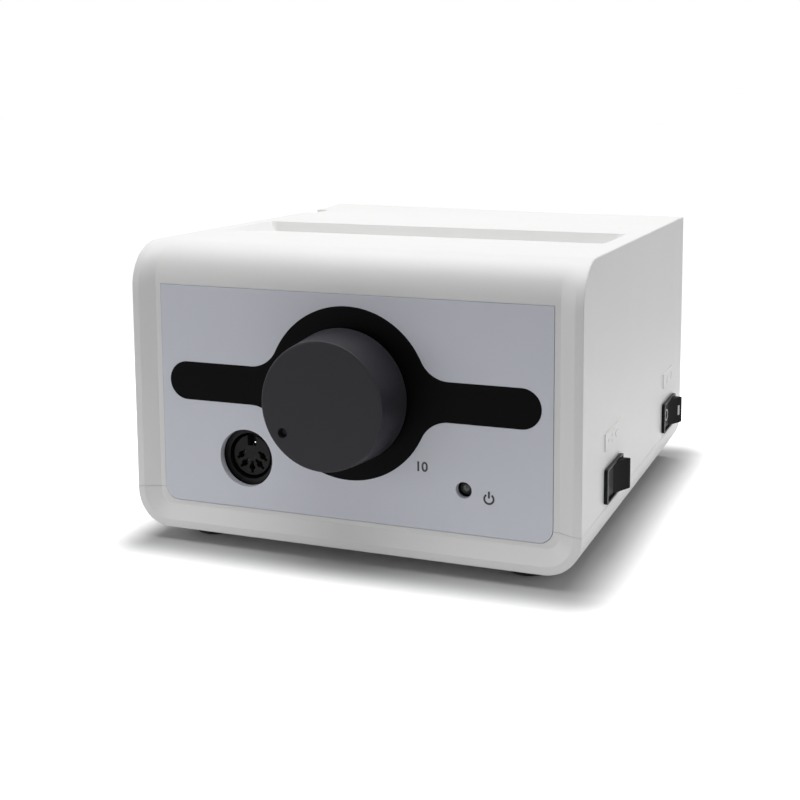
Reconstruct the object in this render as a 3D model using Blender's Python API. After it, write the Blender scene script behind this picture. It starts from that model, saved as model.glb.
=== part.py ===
"""Table-top control unit of an electric micromotor, built as an assembly.

Lengths are metres. X runs to the right as seen from the front, Y runs to the back and Z runs up.
Sizes and places below are given from the middle of the case, from the plane of its front rim and
from its underside. An empty named layout carries every piece, lifts the case onto its feet and
puts the origin under the middle of the whole part.
"""

import math

import bmesh
import bpy
from mathutils import Vector

# Fits shared by all pieces
GAP = 0.0003
OVERRUN = 0.002

# Facets round a full turn
FINE = 48
MEDIUM = 32
SMALL = 20
TINY = 10
CORNER_STEPS = 6
NUT_SIDES = 6
SHARP_DEGREES = 35.0

# Case shell
CASE_WIDTH = 0.1344
CASE_DEPTH = 0.1364
CROWN_HEIGHT = 0.0116
WALL = 0.0025
SEAM_HEIGHT = 0.0113
BOTTOM_EDGE_RADIUS = 0.0103
BROW_RADIUS = 0.0128
RIM_STRIP = 0.0023
RIM_BEVEL = 0.0043
RIM_LEDGE = 0.0016
LOWER_LEDGE = 0.0012
FILM_TOP_MARGIN = 0.00335
REBATE = 0.0025
REBATE_THICKNESS = 0.0022
BROW_BACKING = 0.0045

# Handpiece trough and the notch and pad at the left rear of the top
TROUGH_REAR = 0.0720
TROUGH_FRONT = 0.0380
TROUGH_DEPTH = 0.0031
TROUGH_END_MARGIN = 0.0057
TROUGH_DRAFT = 0.0012
NOTCH_FRONT = 0.1062
NOTCH_REAR = 0.1184
NOTCH_DEPTH = 0.0016
NOTCH_WIDTH = 0.0050
PAD_RISE = 0.0010
PAD_SINK = 0.0004
PAD_START_DROP = 0.0004
PAD_EMBED = 0.0012

# Front panel and its black film
PANEL_SETBACK = 0.0021
PANEL_THICKNESS = 0.0022
PANEL_CORNER_RADIUS = 0.0042
FILM_THICKNESS = 0.0002
DIAL_HEIGHT = 0.0437
FILM_DISC_RADIUS = 0.02435
RIBBON_HALF_LENGTH = 0.0562
RIBBON_HALF_HEIGHT = 0.00555
FILM_FILLET = 0.0087

# Rear panel
REAR_SETBACK = 0.0010
REAR_THICKNESS = 0.0022
REAR_CROWN_HEIGHT = 0.0070
REAR_VENT_COUNT = 8
REAR_VENT_WIDTH = 0.0022
REAR_VENT_PITCH = 0.0050
REAR_VENT_LENGTH = 0.0160
REAR_VENT_LEVEL = 0.0600
REAR_VENT_X = 0.0240

# Feet and the screws that hold them and the two case halves
FOOT_HEIGHT = 0.0040
FOOT_RADIUS = 0.0065
FOOT_TAPER = 0.0006
FOOT_BORE_DEPTH = 0.0022
FOOT_BORE_RADIUS = 0.0034
POST_RADIUS = 0.0040
POST_INSET = 0.0182
POST_EMBED = 0.0008
POST_FRONT_Y = 0.0140
POST_REAR_MARGIN = 0.0100
CASE_SCREW_RADIUS = 0.0015
CASE_SCREW_HEAD_RADIUS = 0.0028
CASE_SCREW_HEAD_HEIGHT = 0.0016
CASE_SCREW_BITE = 0.0080
RECESS_SHARE = 0.5

# Speed knob
KNOB_REAR_RADIUS = 0.0188
KNOB_FRONT_RADIUS = 0.0176
KNOB_LENGTH = 0.0139
KNOB_STANDOFF = 0.0026
KNOB_EDGE = 0.0005
KNOB_SKIRT = 0.0016
KNOB_FACE = 0.0026
KNOB_HUB_WALL = 0.0022
KNOB_HUB_SHORTFALL = 0.0033
DIMPLE_RADIUS = 0.0012
DIMPLE_DEPTH = 0.0008
DIMPLE_FROM_AXIS = 0.0139
DIMPLE_CLOCK_DEGREES = 235.0
INSERT_WALL = 0.0017

# Speed potentiometer
SHAFT_RADIUS = 0.0030
SHAFT_FLAT_DEPTH = 0.0012
SHAFT_FLAT_RUNOUT = 0.0006
BUSH_WALL = 0.00115
BUSH_FRONT_REACH = 0.0020
WASHER_WALL = 0.0030
WASHER_THICKNESS = 0.0006
NUT_THICKNESS = 0.0020
NUT_RIM = 0.0014
CAN_RADIUS = 0.0120
CAN_PLATE = 0.0016
CAN_LENGTH = 0.0070
CAN_WALL = 0.0007
ROTOR_RADIUS = 0.0095
ROTOR_THICKNESS = 0.0016
WAFER_THICKNESS = 0.0016
WAFER_TAB_DROP = 0.0060
WAFER_TAB_HALF_WIDTH = 0.0078
LUG_COUNT = 3
LUG_PITCH = 0.0050
LUG_WIDTH = 0.0022
LUG_THICKNESS = 0.0005
LUG_LENGTH = 0.0095

# Handpiece socket
SOCKET_X = -0.0320
SOCKET_LEVEL = 0.0224
SOCKET_HOLE_RADIUS = 0.0083
SOCKET_BORE_RADIUS = 0.00675
SOCKET_TUBE_WALL = 0.0015
SOCKET_TUBE_LENGTH = 0.0140
SOCKET_FLANGE_HALF_WIDTH = 0.0155
SOCKET_FLANGE_HALF_HEIGHT = 0.0098
SOCKET_FLANGE_THICKNESS = 0.0018
SOCKET_SCREW_SPREAD = 0.0124
SOCKET_SCREW_RADIUS = 0.0010
SOCKET_SCREW_HEAD_RADIUS = 0.0019
SOCKET_SCREW_HEAD_HEIGHT = 0.0012
SOCKET_SCREW_BITE = 0.0012
INSULATOR_RADIUS = 0.00585
INSULATOR_SETBACK = 0.0007
INSULATOR_BASE = 0.0040
KEYWAY_WIDTH = 0.0027
KEYWAY_DEPTH = 0.0026
KEYWAY_LENGTH = 0.0070
CONTACT_COUNT = 5
CONTACT_CIRCLE_RADIUS = 0.00345
CONTACT_HOLE_RADIUS = 0.00095
CONTACT_SLOT_LENGTH = 0.0035
CONTACT_SLOT_WIDTH = 0.0008
CONTACT_SLOT_DEPTH = 0.0025
CONTACT_HOLE_DEPTH = 0.0080
CONTACT_TAIL_RADIUS = 0.0007
CONTACT_TAIL = 0.0045

# Power lamp
LAMP_X = 0.0340
LAMP_LEVEL = 0.0200
LAMP_HOLE_RADIUS = 0.00225
LAMP_RADIUS = 0.0025
LAMP_DOME_SETBACK = 0.0017
LAMP_BARREL = 0.0046
LAMP_RIM = 0.0005
LAMP_RIM_THICKNESS = 0.0010
HOLDER_WALL = 0.0014
LAMP_LEAD_RADIUS = 0.0003
LAMP_LEAD_SPREAD = 0.00127
LAMP_LEAD_LENGTH = 0.0070

# Rocker switches
BEZEL_LENGTH = 0.0191
BEZEL_HEIGHT = 0.0099
BEZEL_THICKNESS = 0.0008
BEZEL_END_OVERLAP = 0.0003
BEZEL_SIDE_LIP = 0.00015
SWITCH_LEVEL = 0.01795
DIRECTION_SWITCH_Y = 0.03285
POWER_SWITCH_Y = 0.1124
HOUSING_DEPTH = 0.0130
HOUSING_SIDE_WALL = 0.0003
HOUSING_END_WALL = 0.0004
HOUSING_FLOOR = 0.0030
ROCKER_SWING_DEGREES = 25.0
ROCKER_APEX = 0.0024
ROCKER_FACE_PROUD = 0.0005
ROCKER_KEEL = 0.0012
ROCKER_KEEL_SHARE = 0.42
ROCKER_SHOULDER_SHARE = 0.89
ROCKER_FACE_HOLLOW = 0.00012
PIN_RADIUS = 0.0010
PIN_END_MARGIN = 0.0001
TAB_LENGTH = 0.0075
TAB_WIDTH = 0.0028
TAB_THICKNESS = 0.0006
TAB_PITCH = 0.0052
TAB_ROW_SPREAD = 0.0021
POWER_TAB_WIDTH = 0.0045

# Circuit board
BOARD_LEFT_MARGIN = 0.0147
BOARD_WIDTH = 0.0860
BOARD_FRONT = 0.0260
BOARD_DEPTH = 0.0430
BOARD_THICKNESS = 0.0016
BOARD_POST_HEIGHT = 0.0055
BOARD_POST_RADIUS = 0.0030
BOARD_POST_INSET = 0.0040
BOARD_SCREW_RADIUS = 0.0013
BOARD_SCREW_HEAD_RADIUS = 0.0026
BOARD_SCREW_HEAD_HEIGHT = 0.0016
BOARD_SCREW_BITE = 0.0035

# Parts on the circuit board, placed from its left front corner
CAPACITOR_RADIUS = 0.0090
CAPACITOR_HEIGHT = 0.0300
CAPACITOR_CRIMP = 0.0007
CAPACITOR_AT = (0.0150, 0.0280)
RECTIFIER_SIZE = (0.0190, 0.0060, 0.0150)
RECTIFIER_AT = (0.0350, 0.0350)
RECTIFIER_LEGS = 4
RECTIFIER_LEG = 0.0006
RECTIFIER_LEG_HEIGHT = 0.0030
RELAY_SIZE = (0.0190, 0.0155, 0.0150)
RELAY_AT = (0.0360, 0.0190)
RELAY_EDGE = 0.0008
CHIP_SIZE = (0.0190, 0.0064, 0.0033)
CHIP_AT = (0.0610, 0.0120)
CHIP_LEGS_A_SIDE = 7
CHIP_LEG_PITCH = 0.00254
CHIP_LEG = 0.0005
CHIP_STANDOFF = 0.0006
SINK_WIDTH = 0.0260
SINK_DEPTH = 0.0120
SINK_HEIGHT = 0.0260
SINK_BASE = 0.0030
SINK_FIN_COUNT = 7
SINK_FIN = 0.0012
SINK_AT = (0.0660, 0.0350)
TRANSISTOR_TAB = (0.0102, 0.0013, 0.0155)
TRANSISTOR_BODY = (0.0102, 0.0032, 0.0092)
TRANSISTOR_LEG = 0.0007
TRANSISTOR_LEG_HEIGHT = 0.0040
TRANSISTOR_LEG_PITCH = 0.00254
TRANSISTOR_HOLE_DROP = 0.0030
TRANSISTOR_SCREW_RADIUS = 0.0012
TRANSISTOR_SCREW_HEAD_RADIUS = 0.0024
TRANSISTOR_SCREW_HEAD_HEIGHT = 0.0014
HEADER_SIZE = (0.0270, 0.0058, 0.0070)
HEADER_WALL = 0.0009
HEADER_AT = (0.0250, 0.0050)
HEADER_PIN_COUNT = 10
HEADER_PIN_PITCH = 0.0025
HEADER_PIN = 0.0006

# Mains transformer
CORE_LEFT_MARGIN = 0.0367
CORE_REAR_MARGIN = 0.0414
CORE_WIDTH = 0.0480
CORE_HEIGHT = 0.0400
CORE_STACK = 0.0280
CORE_LEG = 0.0160
CORE_YOKE = 0.0080
COIL_BULGE = 0.0078
BOBBIN_WALL = 0.0010
WINDING_INSET = 0.0007
WINDING_CORNER = 0.0040
STRAP_THICKNESS = 0.0012
STRAP_EAR = 0.0075
STRAP_SCREW_INSET = 0.0035
STRAP_SCREW_RADIUS = 0.0015
STRAP_SCREW_HEAD_RADIUS = 0.0028
STRAP_SCREW_HEAD_HEIGHT = 0.0018
STRAP_SCREW_BITE = 0.0030
STRAP_POST_HEIGHT = 0.0040
STRAP_POST_RADIUS = 0.0036

# Mains inlet in the rear panel
INLET_X = 0.0200
INLET_LEVEL = 0.0300
INLET_FLANGE_HALF_LENGTH = 0.0250
INLET_FLANGE_HALF_HEIGHT = 0.0112
INLET_FLANGE_THICKNESS = 0.0022
INLET_BODY_HALF_WIDTH = 0.0138
INLET_BODY_HALF_HEIGHT = 0.0098
INLET_BODY_DEPTH = 0.0190
INLET_WALL = 0.0016
INLET_FLOOR = 0.0030
INLET_CORNER_CUT = 0.0040
INLET_PIN_WIDTH = 0.0020
INLET_PIN_HEIGHT = 0.0040
INLET_PIN_SETBACK = 0.0035
INLET_PIN_TAIL = 0.0070
INLET_PIN_SPREAD = 0.0070
INLET_PIN_OFFSET = 0.0020
INLET_SCREW_SPREAD = 0.0200
INLET_SCREW_RADIUS = 0.0014
INLET_SCREW_HEAD_RADIUS = 0.0027
INLET_SCREW_HEAD_HEIGHT = 0.0015
INLET_SCREW_REACH = 0.0040
INLET_BOSS_RADIUS = 0.0034
INLET_BOSS_HEIGHT = 0.0050

# Fuse holder in the rear panel
FUSE_X = -0.0220
FUSE_LEVEL = 0.0560
FUSE_TUBE_RADIUS = 0.0060
FUSE_BORE_RADIUS = 0.0043
FUSE_TUBE_LENGTH = 0.0290
FUSE_TUBE_END = 0.0020
FUSE_FLANGE_RADIUS = 0.0076
FUSE_FLANGE_THICKNESS = 0.0014
FUSE_NUT_THICKNESS = 0.0030
FUSE_NUT_RIM = 0.0022
FUSE_CAP_RADIUS = 0.0062
FUSE_CAP_HEIGHT = 0.0034
FUSE_CAP_STEM = 0.0050
FUSE_CAP_SLOT_WIDTH = 0.0012
FUSE_CAP_SLOT_DEPTH = 0.0012
FUSE_RADIUS = 0.0026
FUSE_CAP_RIM = 0.0002
FUSE_END_LENGTH = 0.0055

# Foot control jack in the rear panel
JACK_X = -0.0220
JACK_LEVEL = 0.0280
JACK_BODY_RADIUS = 0.0045
JACK_BODY_LENGTH = 0.0120
JACK_NECK_RADIUS = 0.0030
JACK_BORE_RADIUS = 0.0018
JACK_NECK_REACH = 0.0022
JACK_NUT_RADIUS = 0.0045
JACK_NUT_THICKNESS = 0.0016
JACK_FLOOR = 0.0015

# Floor vents
VENT_ROWS = 6
VENT_WIDTH = 0.0028
VENT_PITCH = 0.0070
VENT_LENGTH = 0.0300
VENT_FRONT = 0.0770
VENT_X = 0.0260

# Places worked out from the sizes above
HALF_WIDTH = CASE_WIDTH / 2
INNER_HALF_WIDTH = HALF_WIDTH - WALL
PANEL_OPENING_TOP = DIAL_HEIGHT + FILM_DISC_RADIUS + FILM_TOP_MARGIN
CASE_HEIGHT = PANEL_OPENING_TOP + CROWN_HEIGHT
REAR_OPENING_TOP = CASE_HEIGHT - REAR_CROWN_HEIGHT
CEILING = CASE_HEIGHT - WALL
POST_X = HALF_WIDTH - POST_INSET
BOARD_LEFT = BOARD_LEFT_MARGIN - INNER_HALF_WIDTH
CORE_X = CORE_LEFT_MARGIN - INNER_HALF_WIDTH
CORE_Y = CASE_DEPTH - CORE_REAR_MARGIN
PANEL_BACK = PANEL_SETBACK + PANEL_THICKNESS
BEHIND_PANEL = PANEL_BACK + GAP
FRAME_BACK = BEHIND_PANEL + REBATE_THICKNESS
OPENING_HALF_WIDTH = HALF_WIDTH - RIM_STRIP - RIM_BEVEL - RIM_LEDGE
OPENING_BOTTOM = RIM_STRIP + RIM_BEVEL + LOWER_LEDGE
REAR_FACE = CASE_DEPTH - REAR_SETBACK
REAR_INNER_FACE = REAR_FACE - REAR_THICKNESS
REAR_FRAME_FRONT = REAR_INNER_FACE - GAP - REBATE_THICKNESS
POST_PLACES = [
    (side * POST_X, y, 0.0)
    for y in (POST_FRONT_Y, CASE_DEPTH - POST_REAR_MARGIN)
    for side in (-1, 1)
]
CORNERS = ("front_left", "front_right", "rear_left", "rear_right")
BOARD_UNDERSIDE = WALL + BOARD_POST_HEIGHT + GAP
BOARD_TOP = BOARD_UNDERSIDE + BOARD_THICKNESS
ON_BOARD = BOARD_TOP + GAP
BOARD_POST_PLACES = [
    (x, y)
    for x in (BOARD_LEFT + BOARD_POST_INSET, BOARD_LEFT + BOARD_WIDTH - BOARD_POST_INSET)
    for y in (BOARD_FRONT + BOARD_POST_INSET, BOARD_FRONT + BOARD_DEPTH - BOARD_POST_INSET)
]
BOARD_SCREW_PLACES = (BOARD_POST_PLACES[0], BOARD_POST_PLACES[3])
BOARD_PEG_PLACES = (BOARD_POST_PLACES[1], BOARD_POST_PLACES[2])
CORE_UNDERSIDE = WALL + STRAP_POST_HEIGHT + GAP
STRAP_HALF_WIDTH = CORE_WIDTH / 2 + GAP + STRAP_THICKNESS
STRAP_SCREW_X = STRAP_HALF_WIDTH + STRAP_EAR - STRAP_SCREW_INSET
KNOB_REAR = PANEL_SETBACK - KNOB_STANDOFF
KNOB_FRONT = KNOB_REAR - KNOB_LENGTH
KNOB_HUB_REAR = KNOB_REAR - KNOB_HUB_SHORTFALL
INSERT_BORE_RADIUS = SHAFT_RADIUS + GAP
INSERT_RADIUS = INSERT_BORE_RADIUS + INSERT_WALL
INSERT_FRONT = KNOB_FRONT + KNOB_FACE + GAP
BUSH_BORE_RADIUS = SHAFT_RADIUS + GAP
BUSH_RADIUS = BUSH_BORE_RADIUS + BUSH_WALL
BUSH_HOLE_RADIUS = BUSH_RADIUS + GAP
BUSH_FRONT = PANEL_SETBACK - WASHER_THICKNESS - NUT_THICKNESS - 2 * GAP - BUSH_FRONT_REACH / 2
CAN_FRONT = BEHIND_PANEL + CAN_PLATE + GAP
CAN_BACK = CAN_FRONT + CAN_LENGTH
PIVOT_INSET = ROCKER_APEX * math.cos(math.radians(ROCKER_SWING_DEGREES / 2)) - ROCKER_FACE_PROUD
HOUSING_LENGTH = BEZEL_LENGTH - 2 * (BEZEL_END_OVERLAP + GAP)
HOUSING_HEIGHT = BEZEL_HEIGHT - 2 * BEZEL_SIDE_LIP
WELL_HALF_LENGTH = HOUSING_LENGTH / 2 - HOUSING_END_WALL
WELL_HALF_HEIGHT = HOUSING_HEIGHT / 2 - HOUSING_SIDE_WALL
ROCKER_HALF_HEIGHT = WELL_HALF_HEIGHT - GAP
FUSE_CAP_BACK = REAR_FACE + 2 * GAP + FUSE_FLANGE_THICKNESS + FUSE_CAP_HEIGHT


# Tools for outlines and bodies

def turn_points(centre, radius, start, end, steps):
    """Points on an arc; angles in degrees, counter-clockwise from the first axis."""
    points = []
    for step in range(steps + 1):
        angle = math.radians(start + (end - start) * step / steps)
        points.append((centre[0] + radius * math.cos(angle), centre[1] + radius * math.sin(angle)))
    return points


def nut_outline(radius):
    """A hexagon with a corner on the first axis."""
    return turn_points((0, 0), radius, 0, 360, NUT_SIDES)[:-1]


def rectangle(low, high):
    """The four corners of a rectangle, counter-clockwise."""
    return [(low[0], low[1]), (high[0], low[1]), (high[0], high[1]), (low[0], high[1])]


def rounded_rectangle(low, high, radius):
    """A rectangle with four round corners."""
    corners = (
        ((high[0] - radius, high[1] - radius), 0),
        ((low[0] + radius, high[1] - radius), 90),
        ((low[0] + radius, low[1] + radius), 180),
        ((high[0] - radius, low[1] + radius), 270),
    )
    points = []
    for centre, start in corners:
        points += turn_points(centre, radius, start, start + 90, CORNER_STEPS // 2)
    return points


def case_outline(inset, top, bottom=0.0):
    """The case seen from the front, drawn in by an inset, with its two round lower corners."""
    half = HALF_WIDTH - inset
    low = bottom + inset
    radius = BOTTOM_EDGE_RADIUS - inset
    points = [(half, top), (-half, top)]
    points += turn_points((-half + radius, low + radius), radius, 180, 270, CORNER_STEPS)
    points += turn_points((half - radius, low + radius), radius, 270, 360, CORNER_STEPS)
    return points


def opening_outline(half, low, top, radius):
    """A panel's outline: square above, two round corners below."""
    points = [(half, top), (-half, top)]
    points += turn_points((-half + radius, low + radius), radius, 180, 270, CORNER_STEPS // 2)
    points += turn_points((half - radius, low + radius), radius, 270, 360, CORNER_STEPS // 2)
    return points


def film_outline(inset):
    """The black film about the dial's middle: a disc with a round-ended ribbon, filleted."""
    disc = FILM_DISC_RADIUS - inset
    ribbon = RIBBON_HALF_HEIGHT - inset
    fillet = FILM_FILLET + inset
    end = RIBBON_HALF_LENGTH - inset - ribbon
    fillet_x = math.sqrt((disc + fillet) ** 2 - (ribbon + fillet) ** 2)
    lean = math.degrees(math.atan2(ribbon + fillet, fillet_x))
    steps = CORNER_STEPS
    points = turn_points((end, 0), ribbon, -90, 90, 2 * steps)
    points += turn_points((fillet_x, ribbon + fillet), fillet, 270, 180 + lean, steps)
    points += turn_points((0, 0), disc, lean, 180 - lean, 4 * steps)[1:-1]
    points += turn_points((-fillet_x, ribbon + fillet), fillet, -lean, -90, steps)
    points += turn_points((-end, 0), ribbon, 90, 270, 2 * steps)
    points += turn_points((-fillet_x, -ribbon - fillet), fillet, 90, lean, steps)
    points += turn_points((0, 0), disc, 180 + lean, 360 - lean, 4 * steps)[1:-1]
    points += turn_points((fillet_x, -ribbon - fillet), fillet, 180 - lean, 90, steps)
    return points


def to_space(axis, first, second, along):
    """Turn two outline values and a distance along an axis into a point."""
    if axis == "X":
        return Vector((along, first, second))
    if axis == "Y":
        return Vector((first, along, second))
    return Vector((first, second, along))


def add_rings(body, rings):
    """Close a body through rings of equally many points, with a face at each end."""
    verts = [[body.verts.new(point) for point in ring] for ring in rings]
    count = len(verts[0])
    body.faces.new(verts[0])
    body.faces.new(verts[-1])
    for near, far in zip(verts, verts[1:]):
        for index in range(count):
            after = (index + 1) % count
            body.faces.new((near[index], near[after], far[after], far[index]))


def add_prism(body, axis, outline, start, end):
    """A straight body: an outline carried along an axis."""
    add_rings(body, [[to_space(axis, a, b, along) for a, b in outline] for along in (start, end)])


def add_block(body, low, high):
    """A rectangular body from its lowest to its highest corner."""
    add_prism(body, "Z", rectangle(low[:2], high[:2]), low[2], high[2])


def add_turned(body, axis, profile, centre=(0.0, 0.0), facets=SMALL):
    """A turned body: a closed profile of (radius, distance along the axis) spun a full turn."""
    rings = []
    for radius, along in profile:
        if radius == 0:
            rings.append([body.verts.new(to_space(axis, centre[0], centre[1], along))])
            continue
        ring = []
        for facet in range(facets):
            angle = 2 * math.pi * facet / facets
            first = centre[0] + radius * math.cos(angle)
            second = centre[1] + radius * math.sin(angle)
            ring.append(body.verts.new(to_space(axis, first, second, along)))
        rings.append(ring)
    for near, far in zip(rings, rings[1:] + rings[:1]):
        if len(near) == 1 and len(far) == 1:
            continue
        for facet in range(facets):
            after = (facet + 1) % facets
            corners = [near[facet % len(near)], near[after % len(near)]]
            corners += [far[after % len(far)], far[facet % len(far)]]
            body.faces.new(list(dict.fromkeys(corners)))


def rod_profile(radius, start, end):
    """The profile of a plain rod."""
    return [(0, start), (radius, start), (radius, end), (0, end)]


def tube_profile(inner, outer, start, end):
    """The profile of a plain tube or ring."""
    return [(inner, start), (outer, start), (outer, end), (inner, end)]


def screw_profile(shank, head, head_height, reach, recess):
    """A screw along its axis: the head's seat at 0, the shank at positive distances."""
    return [
        (0, recess - head_height),
        (head * RECESS_SHARE, recess - head_height),
        (head * RECESS_SHARE, -head_height),
        (head, -head_height),
        (head, 0),
        (shank, 0),
        (shank, reach),
        (0, reach),
    ]


def paint(name, colour, roughness, metallic=0.0):
    """A plain material."""
    material = bpy.data.materials.new(name)
    material.use_nodes = True
    shader = material.node_tree.nodes["Principled BSDF"]
    shader.inputs["Base Color"].default_value = (*colour, 1.0)
    shader.inputs["Roughness"].default_value = roughness
    shader.inputs["Metallic"].default_value = metallic
    material.diffuse_color = (*colour, 1.0)
    return material


def new_object(name, body, place, turn):
    """Put a body into the scene under the layout empty."""
    bmesh.ops.recalc_face_normals(body, faces=body.faces)
    mesh = bpy.data.meshes.new(name)
    body.to_mesh(mesh)
    body.free()
    piece = bpy.data.objects.new(name, mesh)
    bpy.context.scene.collection.objects.link(piece)
    piece.parent = bpy.data.objects["layout"]
    piece.location = place
    piece.rotation_euler = turn
    return piece


def add_piece(name, body, finish, place=(0.0, 0.0, 0.0), turn=(0.0, 0.0, 0.0)):
    """A sub-part with its own material, shaded smooth where it is round."""
    colour, roughness, metallic = finish
    piece = new_object(name, body, place, turn)
    piece.data.materials.append(paint(name, colour, roughness, metallic))
    piece.data.shade_smooth()
    piece.data.set_sharp_from_angle(angle=math.radians(SHARP_DEGREES))
    return piece


def add_copies(names, body, finish, places):
    """Like pieces at several places, which share one mesh and one material."""
    first = add_piece(names[0], body, finish, places[0])
    for name, place in zip(names[1:], places[1:]):
        copy = first.copy()
        copy.name = name
        copy.location = place
        bpy.context.scene.collection.objects.link(copy)


def shape_with(piece, word, body, operation="DIFFERENCE"):
    """Cut a body from a piece, or join it on, with a guide that isn't rendered."""
    guide = new_object(piece.name + "_" + word, body, piece.location, piece.rotation_euler)
    guide.hide_render = True
    guide.display_type = "WIRE"
    modifier = piece.modifiers.new(word, "BOOLEAN")
    modifier.operation = operation
    modifier.solver = "EXACT"
    modifier.object = guide


# Finishes: colour, roughness and metallic value
WHITE_PLASTIC = ((0.87, 0.87, 0.86), 0.42, 0.0)
PANEL_PLASTIC = ((0.66, 0.69, 0.76), 0.40, 0.0)
BLACK_FILM = ((0.012, 0.012, 0.013), 0.45, 0.0)
KNOB_PLASTIC = ((0.045, 0.045, 0.052), 0.50, 0.0)
BLACK_PLASTIC = ((0.016, 0.016, 0.017), 0.35, 0.0)
GREY_INSULATOR = ((0.045, 0.045, 0.042), 0.55, 0.0)
BLACK_RUBBER = ((0.022, 0.022, 0.022), 0.80, 0.0)
BRASS = ((0.72, 0.52, 0.22), 0.32, 1.0)
STEEL = ((0.58, 0.58, 0.58), 0.35, 1.0)
ZINC = ((0.62, 0.63, 0.64), 0.42, 1.0)
ALUMINIUM = ((0.70, 0.71, 0.72), 0.38, 1.0)
LAMINATIONS = ((0.20, 0.20, 0.21), 0.55, 1.0)
YELLOW_TAPE = ((0.78, 0.58, 0.10), 0.45, 0.0)
BOBBIN_PLASTIC = ((0.80, 0.80, 0.74), 0.50, 0.0)
BOARD_GREEN = ((0.03, 0.16, 0.06), 0.40, 0.0)
PHENOLIC = ((0.33, 0.17, 0.07), 0.55, 0.0)
LAMP_LENS = ((0.06, 0.10, 0.05), 0.15, 0.0)
SLEEVE_BLUE = ((0.03, 0.06, 0.16), 0.30, 0.0)
GLASS = ((0.75, 0.80, 0.80), 0.08, 0.0)


# Case

def front_profile(front, radius):
    """The cover's side profile from the seam up the front, over the brow and back."""
    points = [(CASE_DEPTH, SEAM_HEIGHT + GAP), (front, SEAM_HEIGHT + GAP)]
    points += turn_points((front + radius, CASE_HEIGHT - radius), radius, 180, 90, 2 * CORNER_STEPS)
    points.append((CASE_DEPTH, CASE_HEIGHT))
    return points


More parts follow.
